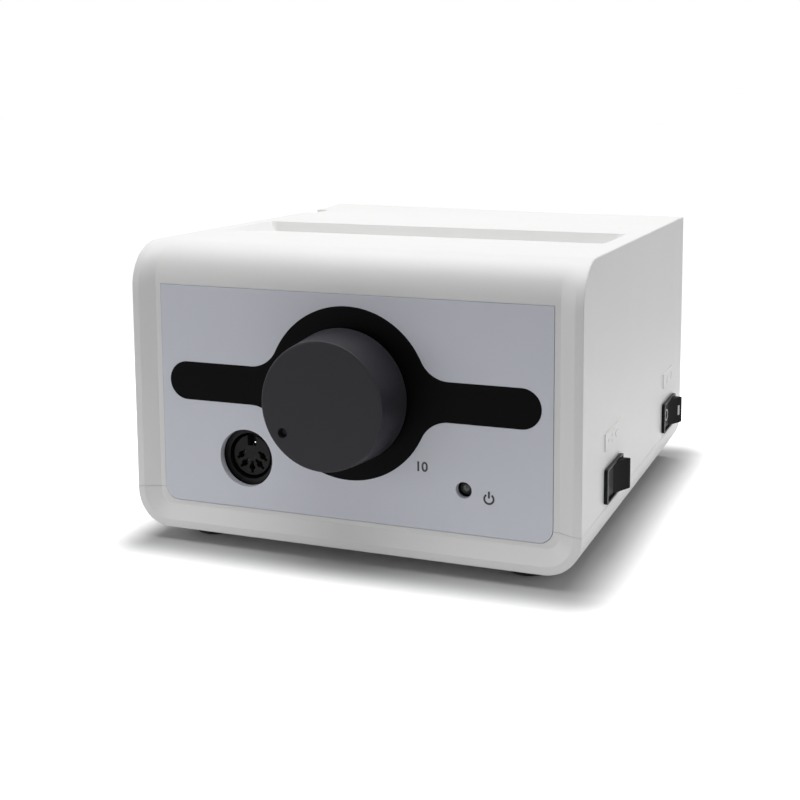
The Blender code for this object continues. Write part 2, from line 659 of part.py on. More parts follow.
def make_upper_cover():
    """The cover: top, sides, brow, and the front and rear frames above the seam."""
    outer = front_profile(0.0, BROW_RADIUS)
    inner = front_profile(PANEL_SETBACK, BROW_RADIUS - PANEL_SETBACK)
    edge = HALF_WIDTH - RIM_STRIP
    crest = edge - RIM_BEVEL
    stations = [(-HALF_WIDTH, outer), (-edge, outer), (-crest, inner)]
    stations += [(crest, inner), (edge, outer), (HALF_WIDTH, outer)]
    body = bmesh.new()
    add_rings(body, [[Vector((x, y, z)) for y, z in profile] for x, profile in stations])
    cover = add_piece("upper_cover", body, WHITE_PLASTIC)

    rim_drop = TROUGH_DEPTH + WALL
    trough_reach = TROUGH_REAR + WALL
    cavity = [
        (FRAME_BACK, -OVERRUN),
        (REAR_FRAME_FRONT, -OVERRUN),
        (REAR_FRAME_FRONT, CEILING),
        (trough_reach + WALL, CEILING),
        (trough_reach, CASE_HEIGHT - rim_drop),
        (TROUGH_REAR - WALL, CASE_HEIGHT - rim_drop),
        (TROUGH_FRONT - WALL, CEILING),
        (FRAME_BACK + BROW_BACKING, CEILING),
        (FRAME_BACK, CEILING - BROW_BACKING),
    ]
    body = bmesh.new()
    add_prism(body, "X", cavity, -INNER_HALF_WIDTH, INNER_HALF_WIDTH)
    shape_with(cover, "cavity", body)
    cut_frame_openings(cover)

    top = CASE_HEIGHT + OVERRUN
    end = HALF_WIDTH - TROUGH_END_MARGIN
    slope = TROUGH_DEPTH / (TROUGH_REAR - TROUGH_FRONT)
    rings = []
    for reach, side in ((end, -1), (end - TROUGH_DRAFT, -1), (end - TROUGH_DRAFT, 1), (end, 1)):
        depth = TROUGH_DEPTH if reach < end else 0.0
        rings.append([
            Vector((side * reach, TROUGH_FRONT - OVERRUN / slope, top)),
            Vector((side * reach, TROUGH_REAR + TROUGH_DRAFT * (OVERRUN / TROUGH_DEPTH), top)),
            Vector((side * reach, TROUGH_REAR - TROUGH_DRAFT * (depth / TROUGH_DEPTH),
                    CASE_HEIGHT - depth)),
            Vector((side * reach, TROUGH_FRONT, CASE_HEIGHT)),
        ])
    body = bmesh.new()
    add_rings(body, rings)
    shape_with(cover, "trough", body)

    body = bmesh.new()
    low = (-HALF_WIDTH - OVERRUN, NOTCH_FRONT, CASE_HEIGHT - NOTCH_DEPTH)
    add_block(body, low, (-HALF_WIDTH + NOTCH_WIDTH, NOTCH_REAR, CASE_HEIGHT + OVERRUN))
    shape_with(cover, "notch", body)

    pad_foot = CASE_HEIGHT - PAD_EMBED
    rings = []
    for x, rear_top in ((-HALF_WIDTH, CASE_HEIGHT + PAD_RISE), (HALF_WIDTH, CASE_HEIGHT - PAD_SINK)):
        rings.append([
            Vector((x, NOTCH_REAR, pad_foot)),
            Vector((x, CASE_DEPTH, pad_foot)),
            Vector((x, CASE_DEPTH, rear_top)),
            Vector((x, NOTCH_REAR, CASE_HEIGHT - PAD_START_DROP)),
        ])
    body = bmesh.new()
    add_rings(body, rings)
    shape_with(cover, "pad", body, "UNION")

    bore = CASE_SCREW_RADIUS + GAP
    foot = SEAM_HEIGHT + GAP
    post = [
        (0, foot + CASE_SCREW_BITE + GAP),
        (bore, foot + CASE_SCREW_BITE + GAP),
        (bore, foot),
        (POST_RADIUS, foot),
        (POST_RADIUS, CEILING + POST_EMBED),
        (0, CEILING + POST_EMBED),
    ]
    body = bmesh.new()
    for place in POST_PLACES:
        add_turned(body, "Z", post, place)
    shape_with(cover, "posts", body, "UNION")

    body = bmesh.new()
    for switch_y in (DIRECTION_SWITCH_Y, POWER_SWITCH_Y):
        half_length = HOUSING_LENGTH / 2 + GAP
        half_height = HOUSING_HEIGHT / 2 + GAP
        low = (INNER_HALF_WIDTH - OVERRUN, switch_y - half_length, SWITCH_LEVEL - half_height)
        high = (HALF_WIDTH + OVERRUN, switch_y + half_length, SWITCH_LEVEL + half_height)
        add_block(body, low, high)
    shape_with(cover, "switch_openings", body)


def cut_frame_openings(shell):
    """Pockets that the front and rear panels drop into, and the windows behind them."""
    corner = PANEL_CORNER_RADIUS
    pocket = opening_outline(OPENING_HALF_WIDTH, OPENING_BOTTOM, PANEL_OPENING_TOP, corner)
    rear_pocket = opening_outline(OPENING_HALF_WIDTH, OPENING_BOTTOM, REAR_OPENING_TOP, corner)
    window_half = OPENING_HALF_WIDTH - REBATE
    window_low = OPENING_BOTTOM + REBATE
    window = opening_outline(window_half, window_low, PANEL_OPENING_TOP - REBATE, corner)
    rear_window = opening_outline(window_half, window_low, REAR_OPENING_TOP - REBATE, corner)
    cuts = (
        ("front_pocket", pocket, -OVERRUN, BEHIND_PANEL),
        ("front_window", window, PANEL_SETBACK, FRAME_BACK + OVERRUN),
        ("rear_pocket", rear_pocket, REAR_INNER_FACE - GAP, CASE_DEPTH + OVERRUN),
        ("rear_window", rear_window, REAR_FRAME_FRONT - OVERRUN, REAR_FACE),
    )
    for word, outline, start, end in cuts:
        body = bmesh.new()
        add_prism(body, "Y", outline, start, end)
        shape_with(shell, word, body)


def make_lower_case():
    """The tray: floor, round lower edges, the lip of the front frame, posts and vents."""
    body = bmesh.new()
    add_prism(body, "Y", case_outline(0.0, SEAM_HEIGHT), 0.0, CASE_DEPTH)
    tray = add_piece("lower_case", body, WHITE_PLASTIC)

    above = SEAM_HEIGHT + OVERRUN
    body = bmesh.new()
    add_prism(body, "Y", case_outline(WALL, above), FRAME_BACK, REAR_FRAME_FRONT)
    shape_with(tray, "cavity", body)

    lead = RIM_STRIP - RIM_BEVEL * (OVERRUN / PANEL_SETBACK)
    rings = []
    for inset, y in ((lead, -OVERRUN), (RIM_STRIP + RIM_BEVEL, PANEL_SETBACK)):
        rings.append([Vector((x, y, z)) for x, z in case_outline(inset, above)])
    body = bmesh.new()
    add_rings(body, rings)
    shape_with(tray, "bevel", body)
    cut_frame_openings(tray)

    sunk = WALL / 2
    body = bmesh.new()
    for place in POST_PLACES:
        profile = tube_profile(CASE_SCREW_RADIUS + GAP, POST_RADIUS, sunk, SEAM_HEIGHT)
        add_turned(body, "Z", profile, place)
    board_bore = BOARD_SCREW_RADIUS + GAP
    board_post_top = WALL + BOARD_POST_HEIGHT
    board_post = [
        (0, sunk),
        (BOARD_POST_RADIUS, sunk),
        (BOARD_POST_RADIUS, board_post_top),
        (board_bore, board_post_top),
        (board_bore, board_post_top - BOARD_SCREW_BITE - GAP),
        (0, board_post_top - BOARD_SCREW_BITE - GAP),
    ]
    board_peg = [
        (0, sunk),
        (BOARD_POST_RADIUS, sunk),
        (BOARD_POST_RADIUS, board_post_top),
        (BOARD_SCREW_RADIUS, board_post_top),
        (BOARD_SCREW_RADIUS, ON_BOARD),
        (0, ON_BOARD),
    ]
    for place in BOARD_SCREW_PLACES:
        add_turned(body, "Z", board_post, place)
    for place in BOARD_PEG_PLACES:
        add_turned(body, "Z", board_peg, place)
    strap_bore = STRAP_SCREW_RADIUS + GAP
    strap_top = WALL + STRAP_POST_HEIGHT
    strap_post = [
        (0, sunk),
        (STRAP_POST_RADIUS, sunk),
        (STRAP_POST_RADIUS, strap_top),
        (strap_bore, strap_top),
        (strap_bore, strap_top - STRAP_SCREW_BITE - GAP),
        (0, strap_top - STRAP_SCREW_BITE - GAP),
    ]
    for side in (-1, 1):
        add_turned(body, "Z", strap_post, (CORE_X + side * STRAP_SCREW_X, CORE_Y))
    shape_with(tray, "posts", body, "UNION")

    body = bmesh.new()
    for place in POST_PLACES:
        add_turned(body, "Z", rod_profile(CASE_SCREW_RADIUS + GAP, -OVERRUN, WALL), place)
    for row in range(VENT_ROWS):
        y = VENT_FRONT + row * VENT_PITCH
        for middle in (CORE_X, VENT_X):
            low = (middle - VENT_LENGTH / 2, y - VENT_WIDTH / 2, -OVERRUN)
            high = (middle + VENT_LENGTH / 2, y + VENT_WIDTH / 2, WALL + OVERRUN)
            add_block(body, low, high)
    shape_with(tray, "holes", body)


def make_front_panel():
    """The front plate with its three holes, the film's shallow seat and two blind holes behind."""
    half = OPENING_HALF_WIDTH - GAP
    low = OPENING_BOTTOM + GAP
    top = PANEL_OPENING_TOP - GAP
    body = bmesh.new()
    outline = opening_outline(half, low, top, PANEL_CORNER_RADIUS - GAP)
    add_prism(body, "Y", outline, PANEL_SETBACK, PANEL_BACK)
    panel = add_piece("front_panel", body, PANEL_PLASTIC)

    seat = [(x, DIAL_HEIGHT + z) for x, z in film_outline(-GAP)]
    body = bmesh.new()
    add_prism(body, "Y", seat, -OVERRUN, PANEL_SETBACK + FILM_THICKNESS + GAP)
    shape_with(panel, "film_seat", body)

    front, back = -OVERRUN, PANEL_BACK + OVERRUN
    body = bmesh.new()
    hole = rod_profile(BUSH_HOLE_RADIUS, front, back)
    add_turned(body, "Y", hole, (0.0, DIAL_HEIGHT), MEDIUM)
    hole = rod_profile(SOCKET_HOLE_RADIUS, front, back)
    add_turned(body, "Y", hole, (SOCKET_X, SOCKET_LEVEL), FINE)
    hole = rod_profile(LAMP_HOLE_RADIUS, front, back)
    add_turned(body, "Y", hole, (LAMP_X, LAMP_LEVEL), SMALL)
    blind = rod_profile(SOCKET_SCREW_RADIUS + GAP, PANEL_BACK - SOCKET_SCREW_BITE - GAP, back)
    for side in (-1, 1):
        add_turned(body, "Y", blind, (SOCKET_X + side * SOCKET_SCREW_SPREAD, SOCKET_LEVEL), TINY)
    shape_with(panel, "holes", body)


def make_panel_film():
    """The black film: a thin sheet in its seat, with a hole for the dial's bush."""
    outline = [(x, DIAL_HEIGHT + z) for x, z in film_outline(0.0)]
    body = bmesh.new()
    add_prism(body, "Y", outline, PANEL_SETBACK, PANEL_SETBACK + FILM_THICKNESS)
    film = add_piece("panel_film", body, BLACK_FILM)
    body = bmesh.new()
    hole = rod_profile(BUSH_HOLE_RADIUS, -OVERRUN, PANEL_BACK)
    add_turned(body, "Y", hole, (0.0, DIAL_HEIGHT), MEDIUM)
    shape_with(film, "hole", body)


def make_rear_panel():
    """The rear plate with its openings and a row of vents."""
    half = OPENING_HALF_WIDTH - GAP
    low = OPENING_BOTTOM + GAP
    top = REAR_OPENING_TOP - GAP
    body = bmesh.new()
    outline = opening_outline(half, low, top, PANEL_CORNER_RADIUS - GAP)
    add_prism(body, "Y", outline, REAR_INNER_FACE, REAR_FACE)
    panel = add_piece("rear_panel", body, WHITE_PLASTIC)

    boss_front = REAR_INNER_FACE - INLET_BOSS_HEIGHT
    screw_places = [(INLET_X + side * INLET_SCREW_SPREAD, INLET_LEVEL) for side in (-1, 1)]
    body = bmesh.new()
    boss = rod_profile(INLET_BOSS_RADIUS, boss_front, REAR_INNER_FACE + REAR_THICKNESS / 2)
    for place in screw_places:
        add_turned(body, "Y", boss, place, SMALL)
    shape_with(panel, "bosses", body, "UNION")

    front, back = REAR_INNER_FACE - OVERRUN, REAR_FACE + OVERRUN
    body = bmesh.new()
    half_width = INLET_BODY_HALF_WIDTH + GAP
    half_height = INLET_BODY_HALF_HEIGHT + GAP
    add_block(
        body,
        (INLET_X - half_width, front, INLET_LEVEL - half_height),
        (INLET_X + half_width, back, INLET_LEVEL + half_height),
    )
    screw_hole = rod_profile(INLET_SCREW_RADIUS + GAP, REAR_INNER_FACE - INLET_SCREW_REACH - GAP,
                             back)
    for place in screw_places:
        add_turned(body, "Y", screw_hole, place, TINY)
    fuse_hole = rod_profile(FUSE_TUBE_RADIUS + GAP, front, back)
    add_turned(body, "Y", fuse_hole, (FUSE_X, FUSE_LEVEL), MEDIUM)
    jack_hole = rod_profile(JACK_NECK_RADIUS + GAP, front, back)
    add_turned(body, "Y", jack_hole, (JACK_X, JACK_LEVEL), SMALL)
    first = REAR_VENT_X - (REAR_VENT_COUNT - 1) * REAR_VENT_PITCH / 2
    for vent in range(REAR_VENT_COUNT):
        x = first + vent * REAR_VENT_PITCH
        add_block(
            body,
            (x - REAR_VENT_WIDTH / 2, front, REAR_VENT_LEVEL - REAR_VENT_LENGTH / 2),
            (x + REAR_VENT_WIDTH / 2, back, REAR_VENT_LEVEL + REAR_VENT_LENGTH / 2),
        )
    shape_with(panel, "holes", body)


def make_feet():
    """Four rubber feet, each with a bored recess for the screw's head."""
    bore = CASE_SCREW_RADIUS + GAP
    ledge = FOOT_BORE_DEPTH - FOOT_HEIGHT
    profile = [
        (FOOT_BORE_RADIUS, -FOOT_HEIGHT),
        (FOOT_RADIUS - FOOT_TAPER, -FOOT_HEIGHT),
        (FOOT_RADIUS, FOOT_TAPER - FOOT_HEIGHT),
        (FOOT_RADIUS, -GAP),
        (bore, -GAP),
        (bore, ledge),
        (FOOT_BORE_RADIUS, ledge),
    ]
    body = bmesh.new()
    add_turned(body, "Z", profile)
    add_copies(["foot_" + corner for corner in CORNERS], body, BLACK_RUBBER, POST_PLACES)


def make_case_screws():
    """Four screws that go up through the feet and the tray into the cover's posts."""
    seat = FOOT_BORE_DEPTH - FOOT_HEIGHT - GAP
    reach = SEAM_HEIGHT + GAP + CASE_SCREW_BITE - seat
    head_height = CASE_SCREW_HEAD_HEIGHT
    profile = screw_profile(
        CASE_SCREW_RADIUS, CASE_SCREW_HEAD_RADIUS, head_height, reach, head_height * RECESS_SHARE
    )
    body = bmesh.new()
    add_turned(body, "Z", [(r, seat + along) for r, along in profile], facets=TINY)
    add_copies(["case_screw_" + corner for corner in CORNERS], body, STEEL, POST_PLACES)


# Dial

def make_speed_knob():
    """The knob: a tapered cup with a hub inside; its origin is on the dial's axis."""
    front, rear = KNOB_FRONT, KNOB_REAR
    inner_face = front + KNOB_FACE
    pocket = INSERT_RADIUS + GAP
    hub = pocket + KNOB_HUB_WALL
    profile = [
        (0, front),
        (KNOB_FRONT_RADIUS - KNOB_EDGE, front),
        (KNOB_FRONT_RADIUS, front + KNOB_EDGE),
        (KNOB_REAR_RADIUS, rear),
        (KNOB_REAR_RADIUS - KNOB_SKIRT, rear),
        (KNOB_FRONT_RADIUS - KNOB_SKIRT, inner_face),
        (hub, inner_face),
        (hub, KNOB_HUB_REAR),
        (pocket, KNOB_HUB_REAR),
        (pocket, inner_face),
        (0, inner_face),
    ]
    body = bmesh.new()
    add_turned(body, "Y", profile, (0.0, 0.0), FINE)
    knob = add_piece("speed_knob", body, KNOB_PLASTIC, (0.0, 0.0, DIAL_HEIGHT))
    clock = math.radians(DIMPLE_CLOCK_DEGREES)
    centre = (DIMPLE_FROM_AXIS * math.sin(clock), DIMPLE_FROM_AXIS * math.cos(clock))
    body = bmesh.new()
    dimple = rod_profile(DIMPLE_RADIUS, front - OVERRUN, front + DIMPLE_DEPTH)
    add_turned(body, "Y", dimple, centre, SMALL)
    shape_with(knob, "dimple", body)


def flatted_outline(radius, flat_depth):
    """A circle with a flat on its upper side."""
    lean = math.degrees(math.asin((radius - flat_depth) / radius))
    return turn_points((0, 0), radius, 180 - lean, 360 + lean, SMALL)


def make_knob_insert():
    """The brass insert in the knob's hub, with a flatted bore for the shaft."""
    rear = KNOB_HUB_REAR
    body = bmesh.new()
    add_turned(body, "Y", rod_profile(INSERT_RADIUS, INSERT_FRONT, rear), (0.0, 0.0), MEDIUM)
    insert = add_piece("knob_insert", body, BRASS, (0.0, 0.0, DIAL_HEIGHT))
    body = bmesh.new()
    bore = flatted_outline(INSERT_BORE_RADIUS, SHAFT_FLAT_DEPTH)
    add_prism(body, "Y", bore, INSERT_FRONT - OVERRUN, rear + OVERRUN)
    shape_with(insert, "bore", body)


def make_pot_shaft():
    """The dial's shaft: a flat for the knob at the front and the wiper's rotor at the back."""
    tip = INSERT_FRONT
    rotor_front = CAN_FRONT + (CAN_LENGTH - ROTOR_THICKNESS) / 2
    rotor_back = rotor_front + ROTOR_THICKNESS
    body = bmesh.new()
    profile = [
        (0, tip),
        (SHAFT_RADIUS, tip),
        (SHAFT_RADIUS, rotor_front),
        (ROTOR_RADIUS, rotor_front),
        (ROTOR_RADIUS, rotor_back),
        (0, rotor_back),
    ]
    add_turned(body, "Y", profile, (0.0, 0.0), SMALL)
    shaft = add_piece("pot_shaft", body, STEEL, (0.0, 0.0, DIAL_HEIGHT))
    body = bmesh.new()
    low = (-SHAFT_RADIUS - OVERRUN, tip - OVERRUN, SHAFT_RADIUS - SHAFT_FLAT_DEPTH)
    flat_end = KNOB_HUB_REAR + SHAFT_FLAT_RUNOUT
    high = (SHAFT_RADIUS + OVERRUN, flat_end, SHAFT_RADIUS + OVERRUN)
    add_block(body, low, high)
    shape_with(shaft, "flat", body)


def make_pot_housing():
    """The potentiometer's fixed pieces: bushed plate, can, wafer, lugs, washer and nut."""
    dial = (0.0, DIAL_HEIGHT)
    plate = [
        (BUSH_BORE_RADIUS, BUSH_FRONT),
        (BUSH_RADIUS, BUSH_FRONT),
        (BUSH_RADIUS, BEHIND_PANEL),
        (CAN_RADIUS, BEHIND_PANEL),
        (CAN_RADIUS, BEHIND_PANEL + CAN_PLATE),
        (BUSH_BORE_RADIUS, BEHIND_PANEL + CAN_PLATE),
    ]
    body = bmesh.new()
    add_turned(body, "Y", plate, dial, MEDIUM)
    add_piece("pot_bush", body, ZINC)

    body = bmesh.new()
    add_turned(body, "Y", tube_profile(CAN_RADIUS - CAN_WALL, CAN_RADIUS, CAN_FRONT, CAN_BACK),
               dial, MEDIUM)
    add_piece("pot_can", body, STEEL)

    wafer_front = CAN_BACK + GAP
    wafer_back = wafer_front + WAFER_THICKNESS
    half = WAFER_TAB_HALF_WIDTH
    lean = math.degrees(math.acos(half / CAN_RADIUS))
    tab_low = -CAN_RADIUS - WAFER_TAB_DROP
    outline = turn_points((0, 0), CAN_RADIUS, -lean, 180 + lean, MEDIUM)
    outline += [(-half, tab_low), (half, tab_low)]
    body = bmesh.new()
    add_prism(body, "Y", outline, wafer_front, wafer_back)
    wafer = add_piece("pot_wafer", body, PHENOLIC, (0.0, 0.0, DIAL_HEIGHT))
    body = bmesh.new()
    low_z = tab_low - LUG_LENGTH / 2
    for lug in range(LUG_COUNT):
        x = (lug - (LUG_COUNT - 1) / 2) * LUG_PITCH
        add_block(
            body,
            (x - LUG_WIDTH / 2, wafer_back - LUG_THICKNESS, low_z),
            (x + LUG_WIDTH / 2, wafer_back + LUG_THICKNESS, low_z + LUG_LENGTH),
        )
    shape_with(wafer, "lugs", body, "UNION")

    washer_back = PANEL_SETBACK - GAP
    washer_front = washer_back - WASHER_THICKNESS
    body = bmesh.new()
    ring = tube_profile(BUSH_HOLE_RADIUS, BUSH_HOLE_RADIUS + WASHER_WALL, washer_front, washer_back)
    add_turned(body, "Y", ring, dial, MEDIUM)
    add_piece("pot_washer", body, STEEL)

    nut_back = washer_front - GAP
    body = bmesh.new()
    hexagon = nut_outline(BUSH_HOLE_RADIUS + NUT_RIM)
    add_prism(body, "Y", hexagon, nut_back - NUT_THICKNESS, nut_back)
    nut = add_piece("pot_nut", body, STEEL, (0.0, 0.0, DIAL_HEIGHT))
    body = bmesh.new()
    bore = rod_profile(BUSH_HOLE_RADIUS, nut_back - NUT_THICKNESS - OVERRUN, nut_back + OVERRUN)
    add_turned(body, "Y", bore, (0.0, 0.0), MEDIUM)
    shape_with(nut, "bore", body)


# Handpiece socket and lamp

def make_socket():
    """The handpiece socket: shell, insulator with moulded-in contacts, and two screws."""
    front = BEHIND_PANEL
    back = front + SOCKET_TUBE_LENGTH
    half = SOCKET_FLANGE_HALF_WIDTH
    tall = SOCKET_FLANGE_HALF_HEIGHT
    body = bmesh.new()
    flange = rounded_rectangle((-half, -tall), (half, tall), SOCKET_SCREW_HEAD_RADIUS)
    add_prism(body, "Y", flange, front, front + SOCKET_FLANGE_THICKNESS)
    shell = add_piece("socket_shell", body, BLACK_PLASTIC, (SOCKET_X, 0.0, SOCKET_LEVEL))
    body = bmesh.new()
    outer = SOCKET_BORE_RADIUS + SOCKET_TUBE_WALL
    barrel = rod_profile(outer, front + SOCKET_FLANGE_THICKNESS / 2, back)
    add_turned(body, "Y", barrel, (0.0, 0.0), FINE)
    shape_with(shell, "barrel", body, "UNION")
    body = bmesh.new()
    bore = rod_profile(SOCKET_BORE_RADIUS, front - OVERRUN, back + OVERRUN)
    add_turned(body, "Y", bore, (0.0, 0.0), FINE)
    hole = rod_profile(SOCKET_SCREW_RADIUS + GAP, front - OVERRUN, back)
    for side in (-1, 1):
        add_turned(body, "Y", hole, (side * SOCKET_SCREW_SPREAD, 0.0), TINY)
    shape_with(shell, "bores", body)

    face = front + INSULATOR_SETBACK
    base_radius = SOCKET_BORE_RADIUS - GAP
    base_front = back - INSULATOR_BASE
    profile = [
        (0, face),
        (INSULATOR_RADIUS, face),
        (INSULATOR_RADIUS, base_front),
        (base_radius, base_front),
        (base_radius, back),
        (0, back),
    ]
    body = bmesh.new()
    add_turned(body, "Y", profile, (0.0, 0.0), MEDIUM)
    insulator = add_piece("socket_insulator", body, GREY_INSULATOR, (SOCKET_X, 0.0, SOCKET_LEVEL))
    body = bmesh.new()
    add_block(
        body,
        (-KEYWAY_WIDTH / 2, face - OVERRUN, INSULATOR_RADIUS - KEYWAY_DEPTH),
        (KEYWAY_WIDTH / 2, face + KEYWAY_LENGTH, INSULATOR_RADIUS + OVERRUN),
    )
    shape_with(insulator, "keyway", body)
    holes = bmesh.new()
    slots = bmesh.new()
    tails = bmesh.new()
    for contact in range(CONTACT_COUNT):
        degrees = 180 + 180 * contact / (CONTACT_COUNT - 1)
        angle = math.radians(degrees)
        along = Vector((math.cos(angle), math.sin(angle)))
        across = Vector((-along.y, along.x)) * CONTACT_SLOT_WIDTH / 2
        middle = along * CONTACT_CIRCLE_RADIUS
        hole = rod_profile(CONTACT_HOLE_RADIUS, face - OVERRUN, face + CONTACT_HOLE_DEPTH)
        add_turned(holes, "Y", hole, middle, TINY)
        tail = rod_profile(CONTACT_TAIL_RADIUS, back - INSULATOR_BASE / 2, back + CONTACT_TAIL)
        add_turned(tails, "Y", tail, middle, TINY)
        reach = along * CONTACT_SLOT_LENGTH / 2
        corners = (middle - reach - across, middle + reach - across)
        corners += (middle + reach + across, middle - reach + across)
        outline = [(corner.x, corner.y) for corner in corners]
        add_prism(slots, "Y", outline, face - OVERRUN, face + CONTACT_SLOT_DEPTH)
    shape_with(insulator, "contact_holes", holes)
    shape_with(insulator, "contact_slots", slots)
    shape_with(insulator, "contact_tails", tails, "UNION")

    seat = front + SOCKET_FLANGE_THICKNESS + GAP
    reach = seat - (PANEL_BACK - SOCKET_SCREW_BITE)
    height = SOCKET_SCREW_HEAD_HEIGHT
    profile = screw_profile(
        SOCKET_SCREW_RADIUS, SOCKET_SCREW_HEAD_RADIUS, height, reach, height * RECESS_SHARE
    )
    body = bmesh.new()
    add_turned(body, "Y", [(r, seat - along) for r, along in profile], facets=TINY)
    places = [(SOCKET_X + side * SOCKET_SCREW_SPREAD, 0.0, SOCKET_LEVEL) for side in (-1, 1)]
    add_copies(("socket_screw_left", "socket_screw_right"), body, STEEL, places)


def make_lamp():
    """The power lamp behind its hole: a domed lamp with two leads, and its holder sleeve."""
    place = (LAMP_X, 0.0, LAMP_LEVEL)
    dome_middle = PANEL_BACK + LAMP_DOME_SETBACK
    barrel_back = dome_middle + LAMP_BARREL
    rim_radius = LAMP_RADIUS + GAP + LAMP_RIM
    dome = turn_points((0, dome_middle), LAMP_RADIUS, -90, 0, CORNER_STEPS // 2)
    profile = [(0, dome_middle - LAMP_RADIUS)] + dome[1:]
    profile += [(LAMP_RADIUS, barrel_back), (rim_radius, barrel_back)]
    profile += [(rim_radius, barrel_back + LAMP_RIM_THICKNESS)]
    profile += [(0, barrel_back + LAMP_RIM_THICKNESS)]
    body = bmesh.new()
    add_turned(body, "Y", profile, (0.0, 0.0), SMALL)
    lamp = add_piece("power_lamp", body, LAMP_LENS, place)
    body = bmesh.new()
    lead = rod_profile(LAMP_LEAD_RADIUS, barrel_back, barrel_back + LAMP_LEAD_LENGTH)
    for side in (-1, 1):
        add_turned(body, "Y", lead, (side * LAMP_LEAD_SPREAD, 0.0), TINY)
    shape_with(lamp, "leads", body, "UNION")

    bore = LAMP_RADIUS + GAP
    body = bmesh.new()
    sleeve = tube_profile(bore, bore + HOLDER_WALL, BEHIND_PANEL, barrel_back - GAP)
    add_turned(body, "Y", sleeve, (0.0, 0.0), SMALL)
    add_piece("lamp_holder", body, BLACK_PLASTIC, place)


# Rocker switches

def rocker_outline():
    """The rocker seen along its pivot, level: a shallow hollow V above, a keel below."""
    tilt = math.radians(ROCKER_SWING_DEGREES / 2)
    face = WELL_HALF_LENGTH - GAP - ROCKER_APEX * math.sin(tilt)
    tip = (ROCKER_APEX + face * math.sin(tilt), face * math.cos(tilt))
    half = []
    steps = CORNER_STEPS // 2
    for step in range(1, steps + 1):
        share = step / steps
        sink = ROCKER_FACE_HOLLOW * 4 * share * (1 - share)
        half.append((
            ROCKER_APEX + (tip[0] - ROCKER_APEX) * share - sink * math.cos(tilt),
            tip[1] * share + sink * math.sin(tilt),
        ))
    half.append((0.0, tip[1] * ROCKER_SHOULDER_SHARE))
    half.append((-ROCKER_KEEL, tip[1] * ROCKER_KEEL_SHARE))
    mirrored = [(x, -y) for x, y in reversed(half)]
    return [(ROCKER_APEX, 0.0)] + half + mirrored


def make_rocker_switch(word, middle_y, tab_width, tab_columns, tab_rows):
    """One rocker switch in the right wall: a housing with bezel and solder tabs, and a rocker."""
    outer = HALF_WIDTH + GAP
    inner = HALF_WIDTH - HOUSING_DEPTH
    pivot = (HALF_WIDTH - PIVOT_INSET, middle_y, SWITCH_LEVEL)
    body = bmesh.new()
    add_prism(
        body,
        "X",
        rounded_rectangle(
            (-BEZEL_LENGTH / 2, -BEZEL_HEIGHT / 2),
            (BEZEL_LENGTH / 2, BEZEL_HEIGHT / 2),
            BEZEL_THICKNESS,
        ),
        outer,
        outer + BEZEL_THICKNESS,
    )
    housing = add_piece(word + "_switch", body, BLACK_PLASTIC, (0.0, middle_y, SWITCH_LEVEL))
    body = bmesh.new()
    add_block(
        body,
        (inner, -HOUSING_LENGTH / 2, -HOUSING_HEIGHT / 2),
        (outer + BEZEL_THICKNESS / 2, HOUSING_LENGTH / 2, HOUSING_HEIGHT / 2),
    )
    shape_with(housing, "box", body, "UNION")
    body = bmesh.new()
    add_block(
        body,
        (inner + HOUSING_FLOOR, -WELL_HALF_LENGTH, -WELL_HALF_HEIGHT),
        (outer + BEZEL_THICKNESS + OVERRUN, WELL_HALF_LENGTH, WELL_HALF_HEIGHT),
    )
    shape_with(housing, "well", body)
    body = bmesh.new()
    reach = HOUSING_HEIGHT / 2 + OVERRUN
    pivot_hole = rod_profile(PIN_RADIUS + GAP, -reach, reach)
    add_turned(body, "Z", pivot_hole, (pivot[0], 0.0), TINY)
    shape_with(housing, "pivot_hole", body)

    places = []
    for column in range(tab_columns):
        for row in range(tab_rows):
            y = (column - (tab_columns - 1) / 2) * TAB_PITCH
            z = (row - (tab_rows - 1) / 2) * 2 * TAB_ROW_SPREAD
            places.append((y, z))
    body = bmesh.new()
    for y, z in places:
        add_block(
            body,
            (inner - TAB_LENGTH, y - tab_width / 2, z - TAB_THICKNESS / 2),
            (inner + HOUSING_FLOOR / 2, y + tab_width / 2, z + TAB_THICKNESS / 2),
        )
    shape_with(housing, "tabs", body, "UNION")

    rest = -math.radians(ROCKER_SWING_DEGREES / 2)
    body = bmesh.new()
    add_prism(body, "Z", rocker_outline(), -ROCKER_HALF_HEIGHT, ROCKER_HALF_HEIGHT)
    rocker = add_piece(word + "_rocker", body, BLACK_PLASTIC, pivot, (0.0, 0.0, rest))
    pin_reach = HOUSING_HEIGHT / 2 - PIN_END_MARGIN
    body = bmesh.new()
    add_turned(body, "Z", rod_profile(PIN_RADIUS, -pin_reach, pin_reach), (0.0, 0.0), TINY)
    shape_with(rocker, "pins", body, "UNION")


# Circuit board and the parts on it

def on_board(place):
    """A place on the board, from the board's left front corner."""
    return (BOARD_LEFT + place[0], BOARD_FRONT + place[1], 0.0)


